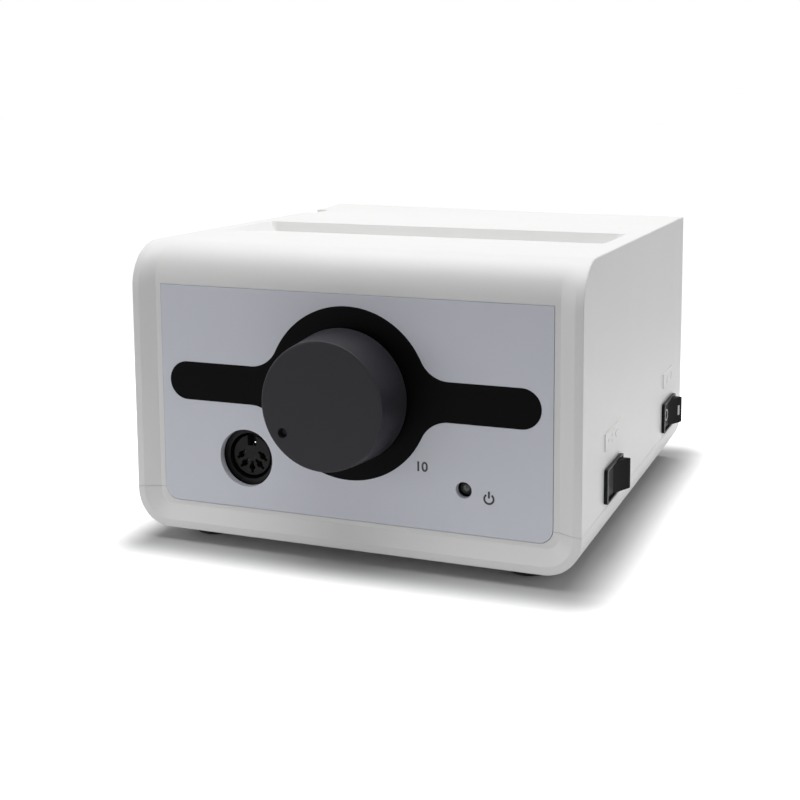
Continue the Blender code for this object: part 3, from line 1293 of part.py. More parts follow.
def make_circuit_board():
    """The bare board on its four posts: two pegs of the tray locate it and two screws hold it."""
    body = bmesh.new()
    low = (BOARD_LEFT, BOARD_FRONT, BOARD_UNDERSIDE)
    add_block(body, low, (BOARD_LEFT + BOARD_WIDTH, BOARD_FRONT + BOARD_DEPTH, BOARD_TOP))
    board = add_piece("circuit_board", body, BOARD_GREEN)
    body = bmesh.new()
    bore = BOARD_SCREW_RADIUS + GAP
    for place in BOARD_POST_PLACES:
        hole = rod_profile(bore, BOARD_UNDERSIDE - OVERRUN, BOARD_TOP + OVERRUN)
        add_turned(body, "Z", hole, place, TINY)
    shape_with(board, "holes", body)

    reach = ON_BOARD - (WALL + BOARD_POST_HEIGHT - BOARD_SCREW_BITE)
    height = BOARD_SCREW_HEAD_HEIGHT
    profile = screw_profile(
        BOARD_SCREW_RADIUS, BOARD_SCREW_HEAD_RADIUS, height, reach, height * RECESS_SHARE
    )
    body = bmesh.new()
    add_turned(body, "Z", [(r, ON_BOARD - along) for r, along in profile], facets=TINY)
    places = [(x, y, 0.0) for x, y in BOARD_SCREW_PLACES]
    add_copies(("board_screw_front", "board_screw_rear"), body, STEEL, places)


def make_board_parts():
    """Smoothing capacitor, rectifier, relay, control chip and plug header."""
    crimp = CAPACITOR_CRIMP
    top = ON_BOARD + CAPACITOR_HEIGHT
    foot = ON_BOARD + 4 * crimp
    profile = [
        (0, ON_BOARD),
        (CAPACITOR_RADIUS, ON_BOARD),
        (CAPACITOR_RADIUS, foot - crimp),
        (CAPACITOR_RADIUS - crimp, foot),
        (CAPACITOR_RADIUS, foot + crimp),
        (CAPACITOR_RADIUS, top - crimp),
        (CAPACITOR_RADIUS - crimp, top),
        (CAPACITOR_RADIUS - 2 * crimp, top - crimp),
        (0, top - crimp),
    ]
    body = bmesh.new()
    add_turned(body, "Z", profile, (0.0, 0.0), SMALL)
    add_piece("filter_capacitor", body, SLEEVE_BLUE, on_board(CAPACITOR_AT))

    wide, deep, tall = RECTIFIER_SIZE
    low_z = ON_BOARD + RECTIFIER_LEG_HEIGHT
    body = bmesh.new()
    add_block(body, (-wide / 2, -deep / 2, low_z), (wide / 2, deep / 2, low_z + tall))
    rectifier = add_piece("bridge_rectifier", body, BLACK_PLASTIC, on_board(RECTIFIER_AT))
    body = bmesh.new()
    for leg in range(RECTIFIER_LEGS):
        x = (leg - (RECTIFIER_LEGS - 1) / 2) * wide / RECTIFIER_LEGS
        add_block(
            body,
            (x - RECTIFIER_LEG, -RECTIFIER_LEG, ON_BOARD),
            (x + RECTIFIER_LEG, RECTIFIER_LEG, low_z + RECTIFIER_LEG_HEIGHT),
        )
    shape_with(rectifier, "legs", body, "UNION")

    wide, deep, tall = RELAY_SIZE
    body = bmesh.new()
    rings = []
    for inset, z in ((0.0, ON_BOARD), (0.0, ON_BOARD + tall - RELAY_EDGE),
                     (RELAY_EDGE, ON_BOARD + tall)):
        low = (inset - wide / 2, inset - deep / 2)
        high = (wide / 2 - inset, deep / 2 - inset)
        rings.append([Vector((x, y, z)) for x, y in rectangle(low, high)])
    add_rings(body, rings)
    add_piece("direction_relay", body, BLACK_PLASTIC, on_board(RELAY_AT))

    wide, deep, tall = CHIP_SIZE
    low_z = ON_BOARD + CHIP_STANDOFF
    body = bmesh.new()
    add_block(body, (-wide / 2, -deep / 2, low_z), (wide / 2, deep / 2, low_z + tall))
    chip = add_piece("control_chip", body, BLACK_PLASTIC, on_board(CHIP_AT))
    body = bmesh.new()
    for leg in range(CHIP_LEGS_A_SIDE):
        x = (leg - (CHIP_LEGS_A_SIDE - 1) / 2) * CHIP_LEG_PITCH
        for side in (-1, 1):
            inner = side * (deep / 2 - CHIP_LEG)
            outer = side * (deep / 2 + CHIP_LEG)
            add_block(
                body,
                (x - CHIP_LEG / 2, min(inner, outer), ON_BOARD),
                (x + CHIP_LEG / 2, max(inner, outer), low_z + tall / 2),
            )
    shape_with(chip, "legs", body, "UNION")

    wide, deep, tall = HEADER_SIZE
    floor = ON_BOARD + HEADER_WALL
    body = bmesh.new()
    add_block(body, (-wide / 2, -deep / 2, ON_BOARD), (wide / 2, deep / 2, ON_BOARD + tall))
    header = add_piece("plug_header", body, BOBBIN_PLASTIC, on_board(HEADER_AT))
    body = bmesh.new()
    low = (HEADER_WALL - wide / 2, HEADER_WALL - deep / 2, floor)
    add_block(body, low, (wide / 2 - HEADER_WALL, deep / 2 - HEADER_WALL, floor + tall))
    shape_with(header, "well", body)
    body = bmesh.new()
    half = HEADER_PIN / 2
    for pin in range(HEADER_PIN_COUNT):
        x = (pin - (HEADER_PIN_COUNT - 1) / 2) * HEADER_PIN_PITCH
        low = (x - half, -half, floor - HEADER_WALL / 2)
        add_block(body, low, (x + half, half, ON_BOARD + tall - HEADER_WALL))
    shape_with(header, "pins", body, "UNION")


def make_heat_sink():
    """The finned heat sink with the power transistor screwed to its front face."""
    wide = SINK_WIDTH
    base_front = -SINK_DEPTH / 2
    base_back = base_front + SINK_BASE
    fin_back = SINK_DEPTH / 2
    pitch = (wide - SINK_FIN) / (SINK_FIN_COUNT - 1)
    outline = [(wide / 2, base_front), (-wide / 2, base_front)]
    for fin in range(SINK_FIN_COUNT):
        left = -wide / 2 + fin * pitch
        right = left + SINK_FIN
        if fin > 0:
            outline.append((left, base_back))
        outline += [(left, fin_back), (right, fin_back)]
        if fin < SINK_FIN_COUNT - 1:
            outline.append((right, base_back))
    place = on_board(SINK_AT)
    body = bmesh.new()
    add_prism(body, "Z", outline, ON_BOARD, ON_BOARD + SINK_HEIGHT)
    sink = add_piece("heat_sink", body, ALUMINIUM, place)

    tab_wide, tab_thick, tab_tall = TRANSISTOR_TAB
    tab_back = base_front - GAP
    tab_front = tab_back - tab_thick
    low_z = ON_BOARD + TRANSISTOR_LEG_HEIGHT
    hole_z = low_z + tab_tall - TRANSISTOR_HOLE_DROP
    hole = TRANSISTOR_SCREW_RADIUS + GAP
    body = bmesh.new()
    add_turned(body, "Y", rod_profile(hole, base_front - OVERRUN, base_back + OVERRUN),
               (0.0, hole_z), TINY)
    shape_with(sink, "hole", body)

    body = bmesh.new()
    low = (-tab_wide / 2, tab_front, low_z)
    add_block(body, low, (tab_wide / 2, tab_back, low_z + tab_tall))
    transistor = add_piece("power_transistor", body, BLACK_PLASTIC, place)
    wide, thick, tall = TRANSISTOR_BODY
    body = bmesh.new()
    front = tab_front - thick
    add_block(body, (-wide / 2, front, low_z), (wide / 2, tab_front + tab_thick / 2, low_z + tall))
    shape_with(transistor, "case", body, "UNION")
    body = bmesh.new()
    leg_y = tab_front - thick / 2
    for leg in (-1, 0, 1):
        x = leg * TRANSISTOR_LEG_PITCH
        low = (x - TRANSISTOR_LEG / 2, leg_y - TRANSISTOR_LEG / 2, ON_BOARD)
        high = (x + TRANSISTOR_LEG / 2, leg_y + TRANSISTOR_LEG / 2, low_z + tall / 2)
        add_block(body, low, high)
    shape_with(transistor, "legs", body, "UNION")
    body = bmesh.new()
    add_turned(body, "Y", rod_profile(hole, tab_front - OVERRUN, tab_back + OVERRUN),
               (0.0, hole_z), TINY)
    shape_with(transistor, "hole", body)

    seat = tab_front - GAP
    height = TRANSISTOR_SCREW_HEAD_HEIGHT
    reach = base_back - seat
    profile = screw_profile(
        TRANSISTOR_SCREW_RADIUS, TRANSISTOR_SCREW_HEAD_RADIUS, height, reach, height * RECESS_SHARE
    )
    body = bmesh.new()
    add_turned(body, "Y", [(r, seat + along) for r, along in profile], (0.0, hole_z), TINY)
    add_piece("transistor_screw", body, STEEL, place)


# Transformer

def make_transformer():
    """The mains transformer: stacked core, bobbin, winding, strap and two screws."""
    place = (CORE_X, CORE_Y, CORE_UNDERSIDE)
    half_wide = CORE_WIDTH / 2
    half_stack = CORE_STACK / 2
    half_leg = CORE_LEG / 2
    window_out = half_wide - CORE_YOKE
    window_top = CORE_HEIGHT - CORE_YOKE
    body = bmesh.new()
    add_block(body, (-half_wide, -half_stack, 0.0), (half_wide, half_stack, CORE_HEIGHT))
    core = add_piece("transformer_core", body, LAMINATIONS, place)
    body = bmesh.new()
    for side in (-1, 1):
        left, right = sorted((side * half_leg, side * window_out))
        low = (left, -half_stack - OVERRUN, CORE_YOKE)
        add_block(body, low, (right, half_stack + OVERRUN, window_top))
    shape_with(core, "windows", body)

    inner_x = half_leg + GAP
    inner_y = half_stack + GAP
    low_z = CORE_YOKE + GAP
    high_z = window_top - GAP
    flange_x = window_out - GAP
    flange_y = half_stack + COIL_BULGE
    body = bmesh.new()
    for start, end in ((low_z, low_z + BOBBIN_WALL), (high_z - BOBBIN_WALL, high_z)):
        add_block(body, (-flange_x, -flange_y, start), (flange_x, flange_y, end))
    bobbin = add_piece("transformer_bobbin", body, BOBBIN_PLASTIC, place)
    wall_x = inner_x + BOBBIN_WALL
    wall_y = inner_y + BOBBIN_WALL
    body = bmesh.new()
    sunk = BOBBIN_WALL / 2
    add_block(body, (-wall_x, -wall_y, low_z + sunk), (wall_x, wall_y, high_z - sunk))
    shape_with(bobbin, "sleeve", body, "UNION")
    body = bmesh.new()
    low = (-inner_x, -inner_y, low_z - OVERRUN)
    add_block(body, low, (inner_x, inner_y, high_z + OVERRUN))
    shape_with(bobbin, "bore", body)

    coil_low = low_z + BOBBIN_WALL + GAP
    coil_high = high_z - BOBBIN_WALL - GAP
    coil_x = flange_x - WINDING_INSET
    coil_y = flange_y - WINDING_INSET
    body = bmesh.new()
    outline = rounded_rectangle((-coil_x, -coil_y), (coil_x, coil_y), WINDING_CORNER)
    add_prism(body, "Z", outline, coil_low, coil_high)
    winding = add_piece("transformer_winding", body, YELLOW_TAPE, place)
    body = bmesh.new()
    bore_x = wall_x + GAP
    bore_y = wall_y + GAP
    add_block(body, (-bore_x, -bore_y, coil_low - OVERRUN), (bore_x, bore_y, coil_high + OVERRUN))
    shape_with(winding, "bore", body)

    inner = half_wide + GAP
    outer = inner + STRAP_THICKNESS
    ear = outer + STRAP_EAR
    top = CORE_HEIGHT + GAP
    outline = [
        (ear, 0.0), (ear, STRAP_THICKNESS), (outer, STRAP_THICKNESS), (outer, top + STRAP_THICKNESS),
        (-outer, top + STRAP_THICKNESS), (-outer, STRAP_THICKNESS), (-ear, STRAP_THICKNESS),
        (-ear, 0.0), (-inner, 0.0), (-inner, top), (inner, top), (inner, 0.0),
    ]
    body = bmesh.new()
    add_prism(body, "Y", outline, -half_stack, half_stack)
    strap = add_piece("transformer_strap", body, ZINC, place)
    body = bmesh.new()
    hole = rod_profile(STRAP_SCREW_RADIUS + GAP, -OVERRUN, STRAP_THICKNESS + OVERRUN)
    for side in (-1, 1):
        add_turned(body, "Z", hole, (side * STRAP_SCREW_X, 0.0), TINY)
    shape_with(strap, "holes", body)

    seat = STRAP_THICKNESS + GAP
    height = STRAP_SCREW_HEAD_HEIGHT
    reach = seat + GAP + STRAP_SCREW_BITE
    profile = screw_profile(
        STRAP_SCREW_RADIUS, STRAP_SCREW_HEAD_RADIUS, height, reach, height * RECESS_SHARE
    )
    body = bmesh.new()
    add_turned(body, "Z", [(r, seat - along) for r, along in profile], facets=TINY)
    places = [(CORE_X + side * STRAP_SCREW_X, CORE_Y, CORE_UNDERSIDE) for side in (-1, 1)]
    add_copies(("transformer_screw_left", "transformer_screw_right"), body, STEEL, places)


# Rear fittings

def make_mains_inlet():
    """The mains inlet: a flanged box open to the rear, three flat pins and two screws."""
    place = (INLET_X, 0.0, INLET_LEVEL)
    seat = REAR_FACE + GAP
    outside = seat + INLET_FLANGE_THICKNESS
    inside = REAR_FACE - INLET_BODY_DEPTH
    long, tall = INLET_FLANGE_HALF_LENGTH, INLET_FLANGE_HALF_HEIGHT
    body = bmesh.new()
    corner = tall - INLET_WALL
    outline = rounded_rectangle((-long, -tall), (long, tall), corner)
    add_prism(body, "Y", outline, seat, outside)
    inlet = add_piece("mains_inlet", body, BLACK_PLASTIC, place)
    body = bmesh.new()
    half_wide, half_tall = INLET_BODY_HALF_WIDTH, INLET_BODY_HALF_HEIGHT
    add_block(
        body,
        (-half_wide, inside, -half_tall),
        (half_wide, seat + INLET_FLANGE_THICKNESS / 2, half_tall),
    )
    shape_with(inlet, "box", body, "UNION")
    well_x = half_wide - INLET_WALL
    well_z = half_tall - INLET_WALL
    cut = INLET_CORNER_CUT
    outline = [
        (-well_x, -well_z), (well_x, -well_z), (well_x, well_z - cut), (well_x - cut, well_z),
        (cut - well_x, well_z), (-well_x, well_z - cut),
    ]
    body = bmesh.new()
    floor = inside + INLET_FLOOR
    add_prism(body, "Y", outline, floor, outside + OVERRUN)
    shape_with(inlet, "well", body)

    half_x = INLET_PIN_WIDTH / 2
    half_z = INLET_PIN_HEIGHT / 2
    pin_places = [
        (-INLET_PIN_SPREAD, -INLET_PIN_OFFSET),
        (INLET_PIN_SPREAD, -INLET_PIN_OFFSET),
        (0.0, INLET_PIN_OFFSET),
    ]
    body = bmesh.new()
    for x, z in pin_places:
        low = (x - half_x - GAP, inside - OVERRUN, z - half_z - GAP)
        add_block(body, low, (x + half_x + GAP, floor + OVERRUN, z + half_z + GAP))
    shape_with(inlet, "pin_slots", body)
    body = bmesh.new()
    low = (-half_x, inside - INLET_PIN_TAIL, -half_z)
    add_block(body, low, (half_x, outside - INLET_PIN_SETBACK, half_z))
    places = [(INLET_X + x, 0.0, INLET_LEVEL + z) for x, z in pin_places]
    add_copies(("mains_pin_neutral", "mains_pin_live", "mains_pin_earth"), body, BRASS, places)

    body = bmesh.new()
    for side in (-1, 1):
        hole = rod_profile(INLET_SCREW_RADIUS + GAP, REAR_FACE, outside + OVERRUN)
        add_turned(body, "Y", hole, (side * INLET_SCREW_SPREAD, 0.0), TINY)
    shape_with(inlet, "screw_holes", body)

    screw_seat = outside + GAP
    reach = screw_seat - REAR_INNER_FACE + INLET_SCREW_REACH
    height = INLET_SCREW_HEAD_HEIGHT
    profile = screw_profile(
        INLET_SCREW_RADIUS, INLET_SCREW_HEAD_RADIUS, height, reach, height * RECESS_SHARE
    )
    body = bmesh.new()
    add_turned(body, "Y", [(r, screw_seat - along) for r, along in profile], facets=TINY)
    places = [(INLET_X + side * INLET_SCREW_SPREAD, 0.0, INLET_LEVEL) for side in (-1, 1)]
    add_copies(("inlet_screw_left", "inlet_screw_right"), body, STEEL, places)


def make_fuse_holder():
    """The fuse holder: tube with flange, nut, glass fuse, and a cap that turns on its axis."""
    place = (FUSE_X, 0.0, FUSE_LEVEL)
    seat = REAR_FACE + GAP
    outside = seat + FUSE_FLANGE_THICKNESS
    inside = outside - FUSE_TUBE_LENGTH
    profile = [
        (0, inside),
        (FUSE_TUBE_RADIUS, inside),
        (FUSE_TUBE_RADIUS, seat),
        (FUSE_FLANGE_RADIUS, seat),
        (FUSE_FLANGE_RADIUS, outside),
        (FUSE_BORE_RADIUS, outside),
        (FUSE_BORE_RADIUS, inside + FUSE_TUBE_END),
        (0, inside + FUSE_TUBE_END),
    ]
    body = bmesh.new()
    add_turned(body, "Y", profile, (0.0, 0.0), SMALL)
    add_piece("fuse_holder", body, BLACK_PLASTIC, place)

    nut_back = REAR_INNER_FACE - GAP
    nut_front = nut_back - FUSE_NUT_THICKNESS
    hexagon = nut_outline(FUSE_TUBE_RADIUS + GAP + FUSE_NUT_RIM)
    body = bmesh.new()
    add_prism(body, "Y", hexagon, nut_front, nut_back)
    nut = add_piece("fuse_holder_nut", body, BLACK_PLASTIC, place)
    body = bmesh.new()
    bore = rod_profile(FUSE_TUBE_RADIUS + GAP, nut_front - OVERRUN, nut_back + OVERRUN)
    add_turned(body, "Y", bore, (0.0, 0.0), SMALL)
    shape_with(nut, "bore", body)

    cap_seat = outside + GAP
    stem_radius = FUSE_BORE_RADIUS - GAP
    stem_front = cap_seat - FUSE_CAP_STEM
    body = bmesh.new()
    profile = [
        (0, stem_front),
        (stem_radius, stem_front),
        (stem_radius, cap_seat),
        (FUSE_CAP_RADIUS, cap_seat),
        (FUSE_CAP_RADIUS, FUSE_CAP_BACK - FUSE_CAP_SLOT_DEPTH / 2),
        (FUSE_CAP_RADIUS - FUSE_CAP_SLOT_DEPTH / 2, FUSE_CAP_BACK),
        (0, FUSE_CAP_BACK),
    ]
    add_turned(body, "Y", profile, (0.0, 0.0), SMALL)
    cap = add_piece("fuse_cap", body, BLACK_PLASTIC, place)
    body = bmesh.new()
    half = FUSE_CAP_SLOT_WIDTH / 2
    add_block(
        body,
        (-FUSE_CAP_RADIUS - OVERRUN, FUSE_CAP_BACK - FUSE_CAP_SLOT_DEPTH, -half),
        (FUSE_CAP_RADIUS + OVERRUN, FUSE_CAP_BACK + OVERRUN, half),
    )
    shape_with(cap, "slot", body)

    start = inside + FUSE_TUBE_END + GAP
    end = stem_front - GAP
    glass = FUSE_RADIUS - FUSE_CAP_RIM
    profile = [
        (0, start),
        (FUSE_RADIUS, start),
        (FUSE_RADIUS, start + FUSE_END_LENGTH),
        (glass, start + FUSE_END_LENGTH),
        (glass, end - FUSE_END_LENGTH),
        (FUSE_RADIUS, end - FUSE_END_LENGTH),
        (FUSE_RADIUS, end),
        (0, end),
    ]
    body = bmesh.new()
    add_turned(body, "Y", profile, (0.0, 0.0), TINY)
    add_piece("fuse", body, GLASS, place)


def make_foot_jack():
    """The foot control's jack: body behind the rear panel, threaded neck and ring nut."""
    place = (JACK_X, 0.0, JACK_LEVEL)
    shoulder = REAR_INNER_FACE - GAP
    neck_end = REAR_FACE + JACK_NECK_REACH
    front = shoulder - JACK_BODY_LENGTH
    profile = [
        (0, front),
        (JACK_BODY_RADIUS, front),
        (JACK_BODY_RADIUS, shoulder),
        (JACK_NECK_RADIUS, shoulder),
        (JACK_NECK_RADIUS, neck_end),
        (JACK_BORE_RADIUS, neck_end),
        (JACK_BORE_RADIUS, front + JACK_FLOOR),
        (0, front + JACK_FLOOR),
    ]
    body = bmesh.new()
    add_turned(body, "Y", profile, (0.0, 0.0), SMALL)
    add_piece("foot_jack", body, ZINC, place)
    start = REAR_FACE + GAP
    body = bmesh.new()
    ring = tube_profile(JACK_NECK_RADIUS + GAP, JACK_NUT_RADIUS, start, start + JACK_NUT_THICKNESS)
    add_turned(body, "Y", ring, (0.0, 0.0), TINY)
    add_piece("foot_jack_nut", body, STEEL, place)


def rocker_reach():
    """How far the raised end of a rocker stands out from the case's middle plane."""
    tilt = math.radians(ROCKER_SWING_DEGREES / 2)
    x, y = max(rocker_outline())
    return HALF_WIDTH - PIVOT_INSET + x * math.cos(tilt) + abs(y) * math.sin(tilt)


def main():
    for old in list(bpy.data.objects):
        bpy.data.objects.remove(old, do_unlink=True)
    layout = bpy.data.objects.new("layout", None)
    bpy.context.scene.collection.objects.link(layout)
    layout.location = (
        -(rocker_reach() - HALF_WIDTH) / 2,
        -(FUSE_CAP_BACK + KNOB_FRONT) / 2,
        FOOT_HEIGHT,
    )
    make_upper_cover()
    make_lower_case()
    make_front_panel()
    make_panel_film()
    make_rear_panel()
    make_feet()
    make_case_screws()
    make_speed_knob()
    make_knob_insert()
    make_pot_shaft()
    make_pot_housing()
    make_socket()
    make_lamp()
    make_rocker_switch("direction", DIRECTION_SWITCH_Y, TAB_WIDTH, 3, 2)
    make_rocker_switch("power", POWER_SWITCH_Y, POWER_TAB_WIDTH, 2, 1)
    make_circuit_board()
    make_board_parts()
    make_heat_sink()
    make_transformer()
    make_mains_inlet()
    make_fuse_holder()
    make_foot_jack()


main()
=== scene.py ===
"""Dresses the control unit of an electric micromotor: shells, panel, dial, socket and switches.

Lengths are metres. Sizes are given in the case's own frame: X to the right from the middle of the
case, Y to the back from its front rim and Z up from its underside.
"""

import math

import bmesh
import bpy
import numpy as np
from bpy.props import FloatProperty, FloatVectorProperty, PointerProperty
from mathutils import Matrix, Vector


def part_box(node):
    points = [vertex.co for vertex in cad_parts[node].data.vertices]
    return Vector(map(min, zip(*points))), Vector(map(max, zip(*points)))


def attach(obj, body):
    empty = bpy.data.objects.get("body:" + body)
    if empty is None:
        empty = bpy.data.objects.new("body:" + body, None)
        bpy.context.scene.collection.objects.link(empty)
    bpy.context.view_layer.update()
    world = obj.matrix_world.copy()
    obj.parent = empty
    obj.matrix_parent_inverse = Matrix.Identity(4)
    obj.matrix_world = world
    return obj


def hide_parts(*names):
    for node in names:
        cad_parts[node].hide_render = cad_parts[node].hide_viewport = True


bl_info = {
    "name": "Micromotor Control Unit",
    "version": (1, 0, 0),
    "blender": (4, 5, 0),
    "location": "View3D > Sidebar > Control Unit",
    "description": "Builds the dressed control unit piece by piece",
    "category": "Object",
}

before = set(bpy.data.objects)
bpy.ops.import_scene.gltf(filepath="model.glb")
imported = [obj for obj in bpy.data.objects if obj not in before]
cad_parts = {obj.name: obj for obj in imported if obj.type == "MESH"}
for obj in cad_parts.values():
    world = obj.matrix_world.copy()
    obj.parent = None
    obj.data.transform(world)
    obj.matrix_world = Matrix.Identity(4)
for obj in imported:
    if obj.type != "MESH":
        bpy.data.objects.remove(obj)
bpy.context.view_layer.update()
CASE_LOW, CASE_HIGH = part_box("lower_case")
ORIGIN = np.array([(CASE_LOW.x + CASE_HIGH.x) / 2, CASE_LOW.y, CASE_LOW.z])
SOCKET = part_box("socket_shell")
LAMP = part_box("power_lamp")
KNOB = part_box("speed_knob")


# Sizes and colours that a user would change

def size(name, description, default):
    """A length."""
    return FloatProperty(name=name, description=description, default=default, min=0.0,
                         unit="LENGTH", subtype="DISTANCE", precision=5)


def offset(name, description, default):
    """A distance from the case's frame, which may be negative."""
    return FloatProperty(name=name, description=description, default=default,
                         unit="LENGTH", subtype="DISTANCE", precision=5)


def turn(name, description, degrees):
    """An angle, given in degrees."""
    return FloatProperty(name=name, description=description, default=math.radians(degrees),
                         unit="ROTATION", subtype="ANGLE")


def colour(name, description, default):
    """A colour, in linear red, green and blue."""
    return FloatVectorProperty(name=name, description=description, default=default, size=3,
                               min=0.0, max=1.0, subtype="COLOR")


class CaseSizes(bpy.types.PropertyGroup):
    width: size("Width", "Case from side to side", CASE_HIGH.x - CASE_LOW.x)
    depth: size("Depth", "Case from front to back", CASE_HIGH.y - CASE_LOW.y)
    height: size("Height", "Case from underside to top", 0.083)
    wall: size("Wall", "Thickness of the shells", 0.0025)
    tongue_foot: size("Tongue foot", "From the joint down to its tongues' foot", 0.0027)
    tongue_top: size("Tongue top", "From the joint up to its tongues' top", 0.0012)
    seam: size("Seam", "Height of the joint between tray and cover", 0.0113)
    joint: size("Joint", "Width of the joint", 0.0001)
    gap: size("Step", "Width of the lean on small steps", 0.0003)
    side_edge: size("Side edge", "Round edge between front, top and sides", 0.0004)
    rear_edge: size("Rear edge", "Round edge at the back", 0.00035)
    floor_radius: size("Floor radius", "Round lower corners", 0.0103)
    brow_radius: size("Brow radius", "Round front of the top", 0.0128)
    strip: size("Strip", "Flat strip round the front", 0.0023)
    bevel: size("Bevel", "Slope from the strip down to the ledge", 0.0043)
    setback: size("Setback", "Depth of the ledge behind the strip", 0.0021)
    opening_half: size("Opening", "Half the width of the front and rear openings", 0.0590)
    opening_low: size("Opening foot", "Height of the openings' lower edge", 0.0078)
    opening_top: size("Opening top", "Height of the front opening's upper edge", 0.0714)
    rear_top: size("Rear opening top", "Height of the rear opening's upper edge", 0.0760)
    opening_radius: size("Opening corner", "Round lower corners of the openings", 0.0042)
    trough_front: size("Trough front", "Where the handpiece trough starts", 0.0380)
    trough_rear: size("Trough rear", "Where the trough's rear wall ends", 0.0720)
    trough_depth: size("Trough depth", "Greatest depth of the trough", 0.0031)
    trough_half: size("Trough half length", "From the middle to the trough's end", 0.0615)
    trough_draft: size("Trough draft", "Lean of the trough's steep wall", 0.0012)
    trough_lead: size("Trough lead", "Lean of the trough's two ends", 0.0030)
    notch_front: size("Notch front", "Front of the notch in the left edge", 0.1062)
    notch_rear: size("Notch rear", "Back of the notch, where the pad starts", 0.1184)
    notch_width: size("Notch width", "Reach of the notch from the left side", 0.0050)
    notch_depth: size("Notch depth", "Depth of the notch", 0.0016)
    pad_rise: size("Pad rise", "Height of the top's rear edge at its left end", 0.0010)
    pad_sink: size("Pad sink", "Depth of the pad's plane at its right end", 0.0004)
    mark_x: offset("Mould mark X", "Small hollow in the top, across", 0.0555)
    mark_y: offset("Mould mark Y", "Small hollow in the top, along", 0.0884)
    mark_radius: size("Mould mark radius", "Size of the hollow", 0.00135)
    label_low: size("Label foot", "Lower edge of the raised labels", 0.0279)
    label_high: size("Label top", "Upper edge of the raised labels", 0.0329)
    label_lift: size("Label lift", "How far a label stands out", 0.0004)
    label_edge: size("Label edge", "Width of a label's steep edge", 0.00012)


class PanelSizes(bpy.types.PropertyGroup):
    gap: size("Gap", "Joint round the plate", 0.00012)
    thickness: size("Thickness", "Thickness of the plates", 0.0022)
    proud: size("Proud", "How far the front plate stands before its ledge", 0.0002)
    edge: size("Edge", "Rounded edge of the plates", 0.0002)
    dial_level: size("Dial level", "Height of the dial", 0.0437)
    film_disc: size("Film disc", "Radius of the film round the dial", 0.02435)
    ribbon_half: size("Ribbon half length", "From the dial to the ribbon's left end", 0.0562)
    ribbon_cut: size("Ribbon cut", "How much shorter the ribbon's right half is", 0.0005)
    ribbon_rise: size("Ribbon half height", "Half the height of the ribbon", 0.00555)
    fillet: size("Film fillet", "Round inner corners of the film", 0.0087)
    socket_x: offset("Socket X", "Handpiece socket, across",
                    (SOCKET[0].x + SOCKET[1].x) / 2 - ORIGIN[0])
    socket_z: offset("Socket Z", "Handpiece socket, height",
                    (SOCKET[0].z + SOCKET[1].z) / 2 - ORIGIN[2])
    socket_hole: size("Socket hole", "Radius of the hole for the socket", 0.0083)
    lamp_x: offset("Lamp X", "Power lamp, across", (LAMP[0].x + LAMP[1].x) / 2 - ORIGIN[0])
    lamp_z: offset("Lamp Z", "Power lamp, height", (LAMP[0].z + LAMP[1].z) / 2 - ORIGIN[2])
    lamp_hole: size("Lamp hole", "Radius of the lamp's hole", 0.00225)
    shaft_hole: size("Shaft hole", "Radius of the hole behind the knob", 0.0048)
    film_proud: size("Film", "How far the film stands before the plate", 0.00006)
    film_sink: size("Film sink", "How far it reaches into the plate", 0.00004)
    rear_face: offset("Rear face", "Outer face of the rear plate", 0.1354)
    inlet_x: offset("Inlet X", "Mains inlet's hole, across", 0.0200)
    inlet_z: offset("Inlet Z", "Mains inlet's hole, height", 0.0300)
    inlet_half_width: size("Inlet half width", "Half its width", 0.0141)
    inlet_half_height: size("Inlet half height", "Half its height", 0.0101)
    rear_x: offset("Fuse and jack", "Both round holes at the back, across", -0.0220)
    fuse_z: offset("Fuse Z", "Fuse holder's hole, height", 0.0560)
    fuse_hole: size("Fuse hole", "Radius of that hole", 0.0063)
    jack_z: offset("Jack Z", "Foot control jack's hole, height", 0.0280)
    jack_hole: size("Jack hole", "Radius of that hole", 0.0033)
    vent_x: offset("Vents X", "Middle of the vents at the back, across", 0.0240)
    vent_z: offset("Vents Z", "Middle of the vents, height", 0.0600)
    vent_pitch: size("Vent pitch", "From one vent to the next", 0.0050)
    vent_half_width: size("Vent half width", "Half the width of a vent", 0.0011)
    vent_half_height: size("Vent half height", "Half the height of a vent", 0.0080)
    vent_corner: size("Vent corner", "Round corners of a vent", 0.0010)


class PrintSizes(bpy.types.PropertyGroup):
    height: size("Height", "Height of the figures", 0.0027)
    number_x: offset("Number X", "Number at the dial's end, across", 0.0219)
    number_z: offset("Number Z", "Number at the dial's end, height", 0.02525)
    sign_x: offset("Sign X", "Power sign, across", 0.0412)
    sign_z: offset("Sign Z", "Power sign, height", 0.0184)
    sign_radius: size("Sign radius", "Radius of the power sign", 0.00131)
    line: size("Line", "Width of the sign's line", 0.00054)
    bar_rise: size("Bar place", "From the sign's middle up to its bar's middle", 0.00115)
    bar_half: size("Bar", "Half the length of the bar", 0.00095)
    proud: size("Proud", "How far the sign stands before the plate", 0.00004)
    sink: size("Sink", "How far it reaches into the plate", 0.00002)


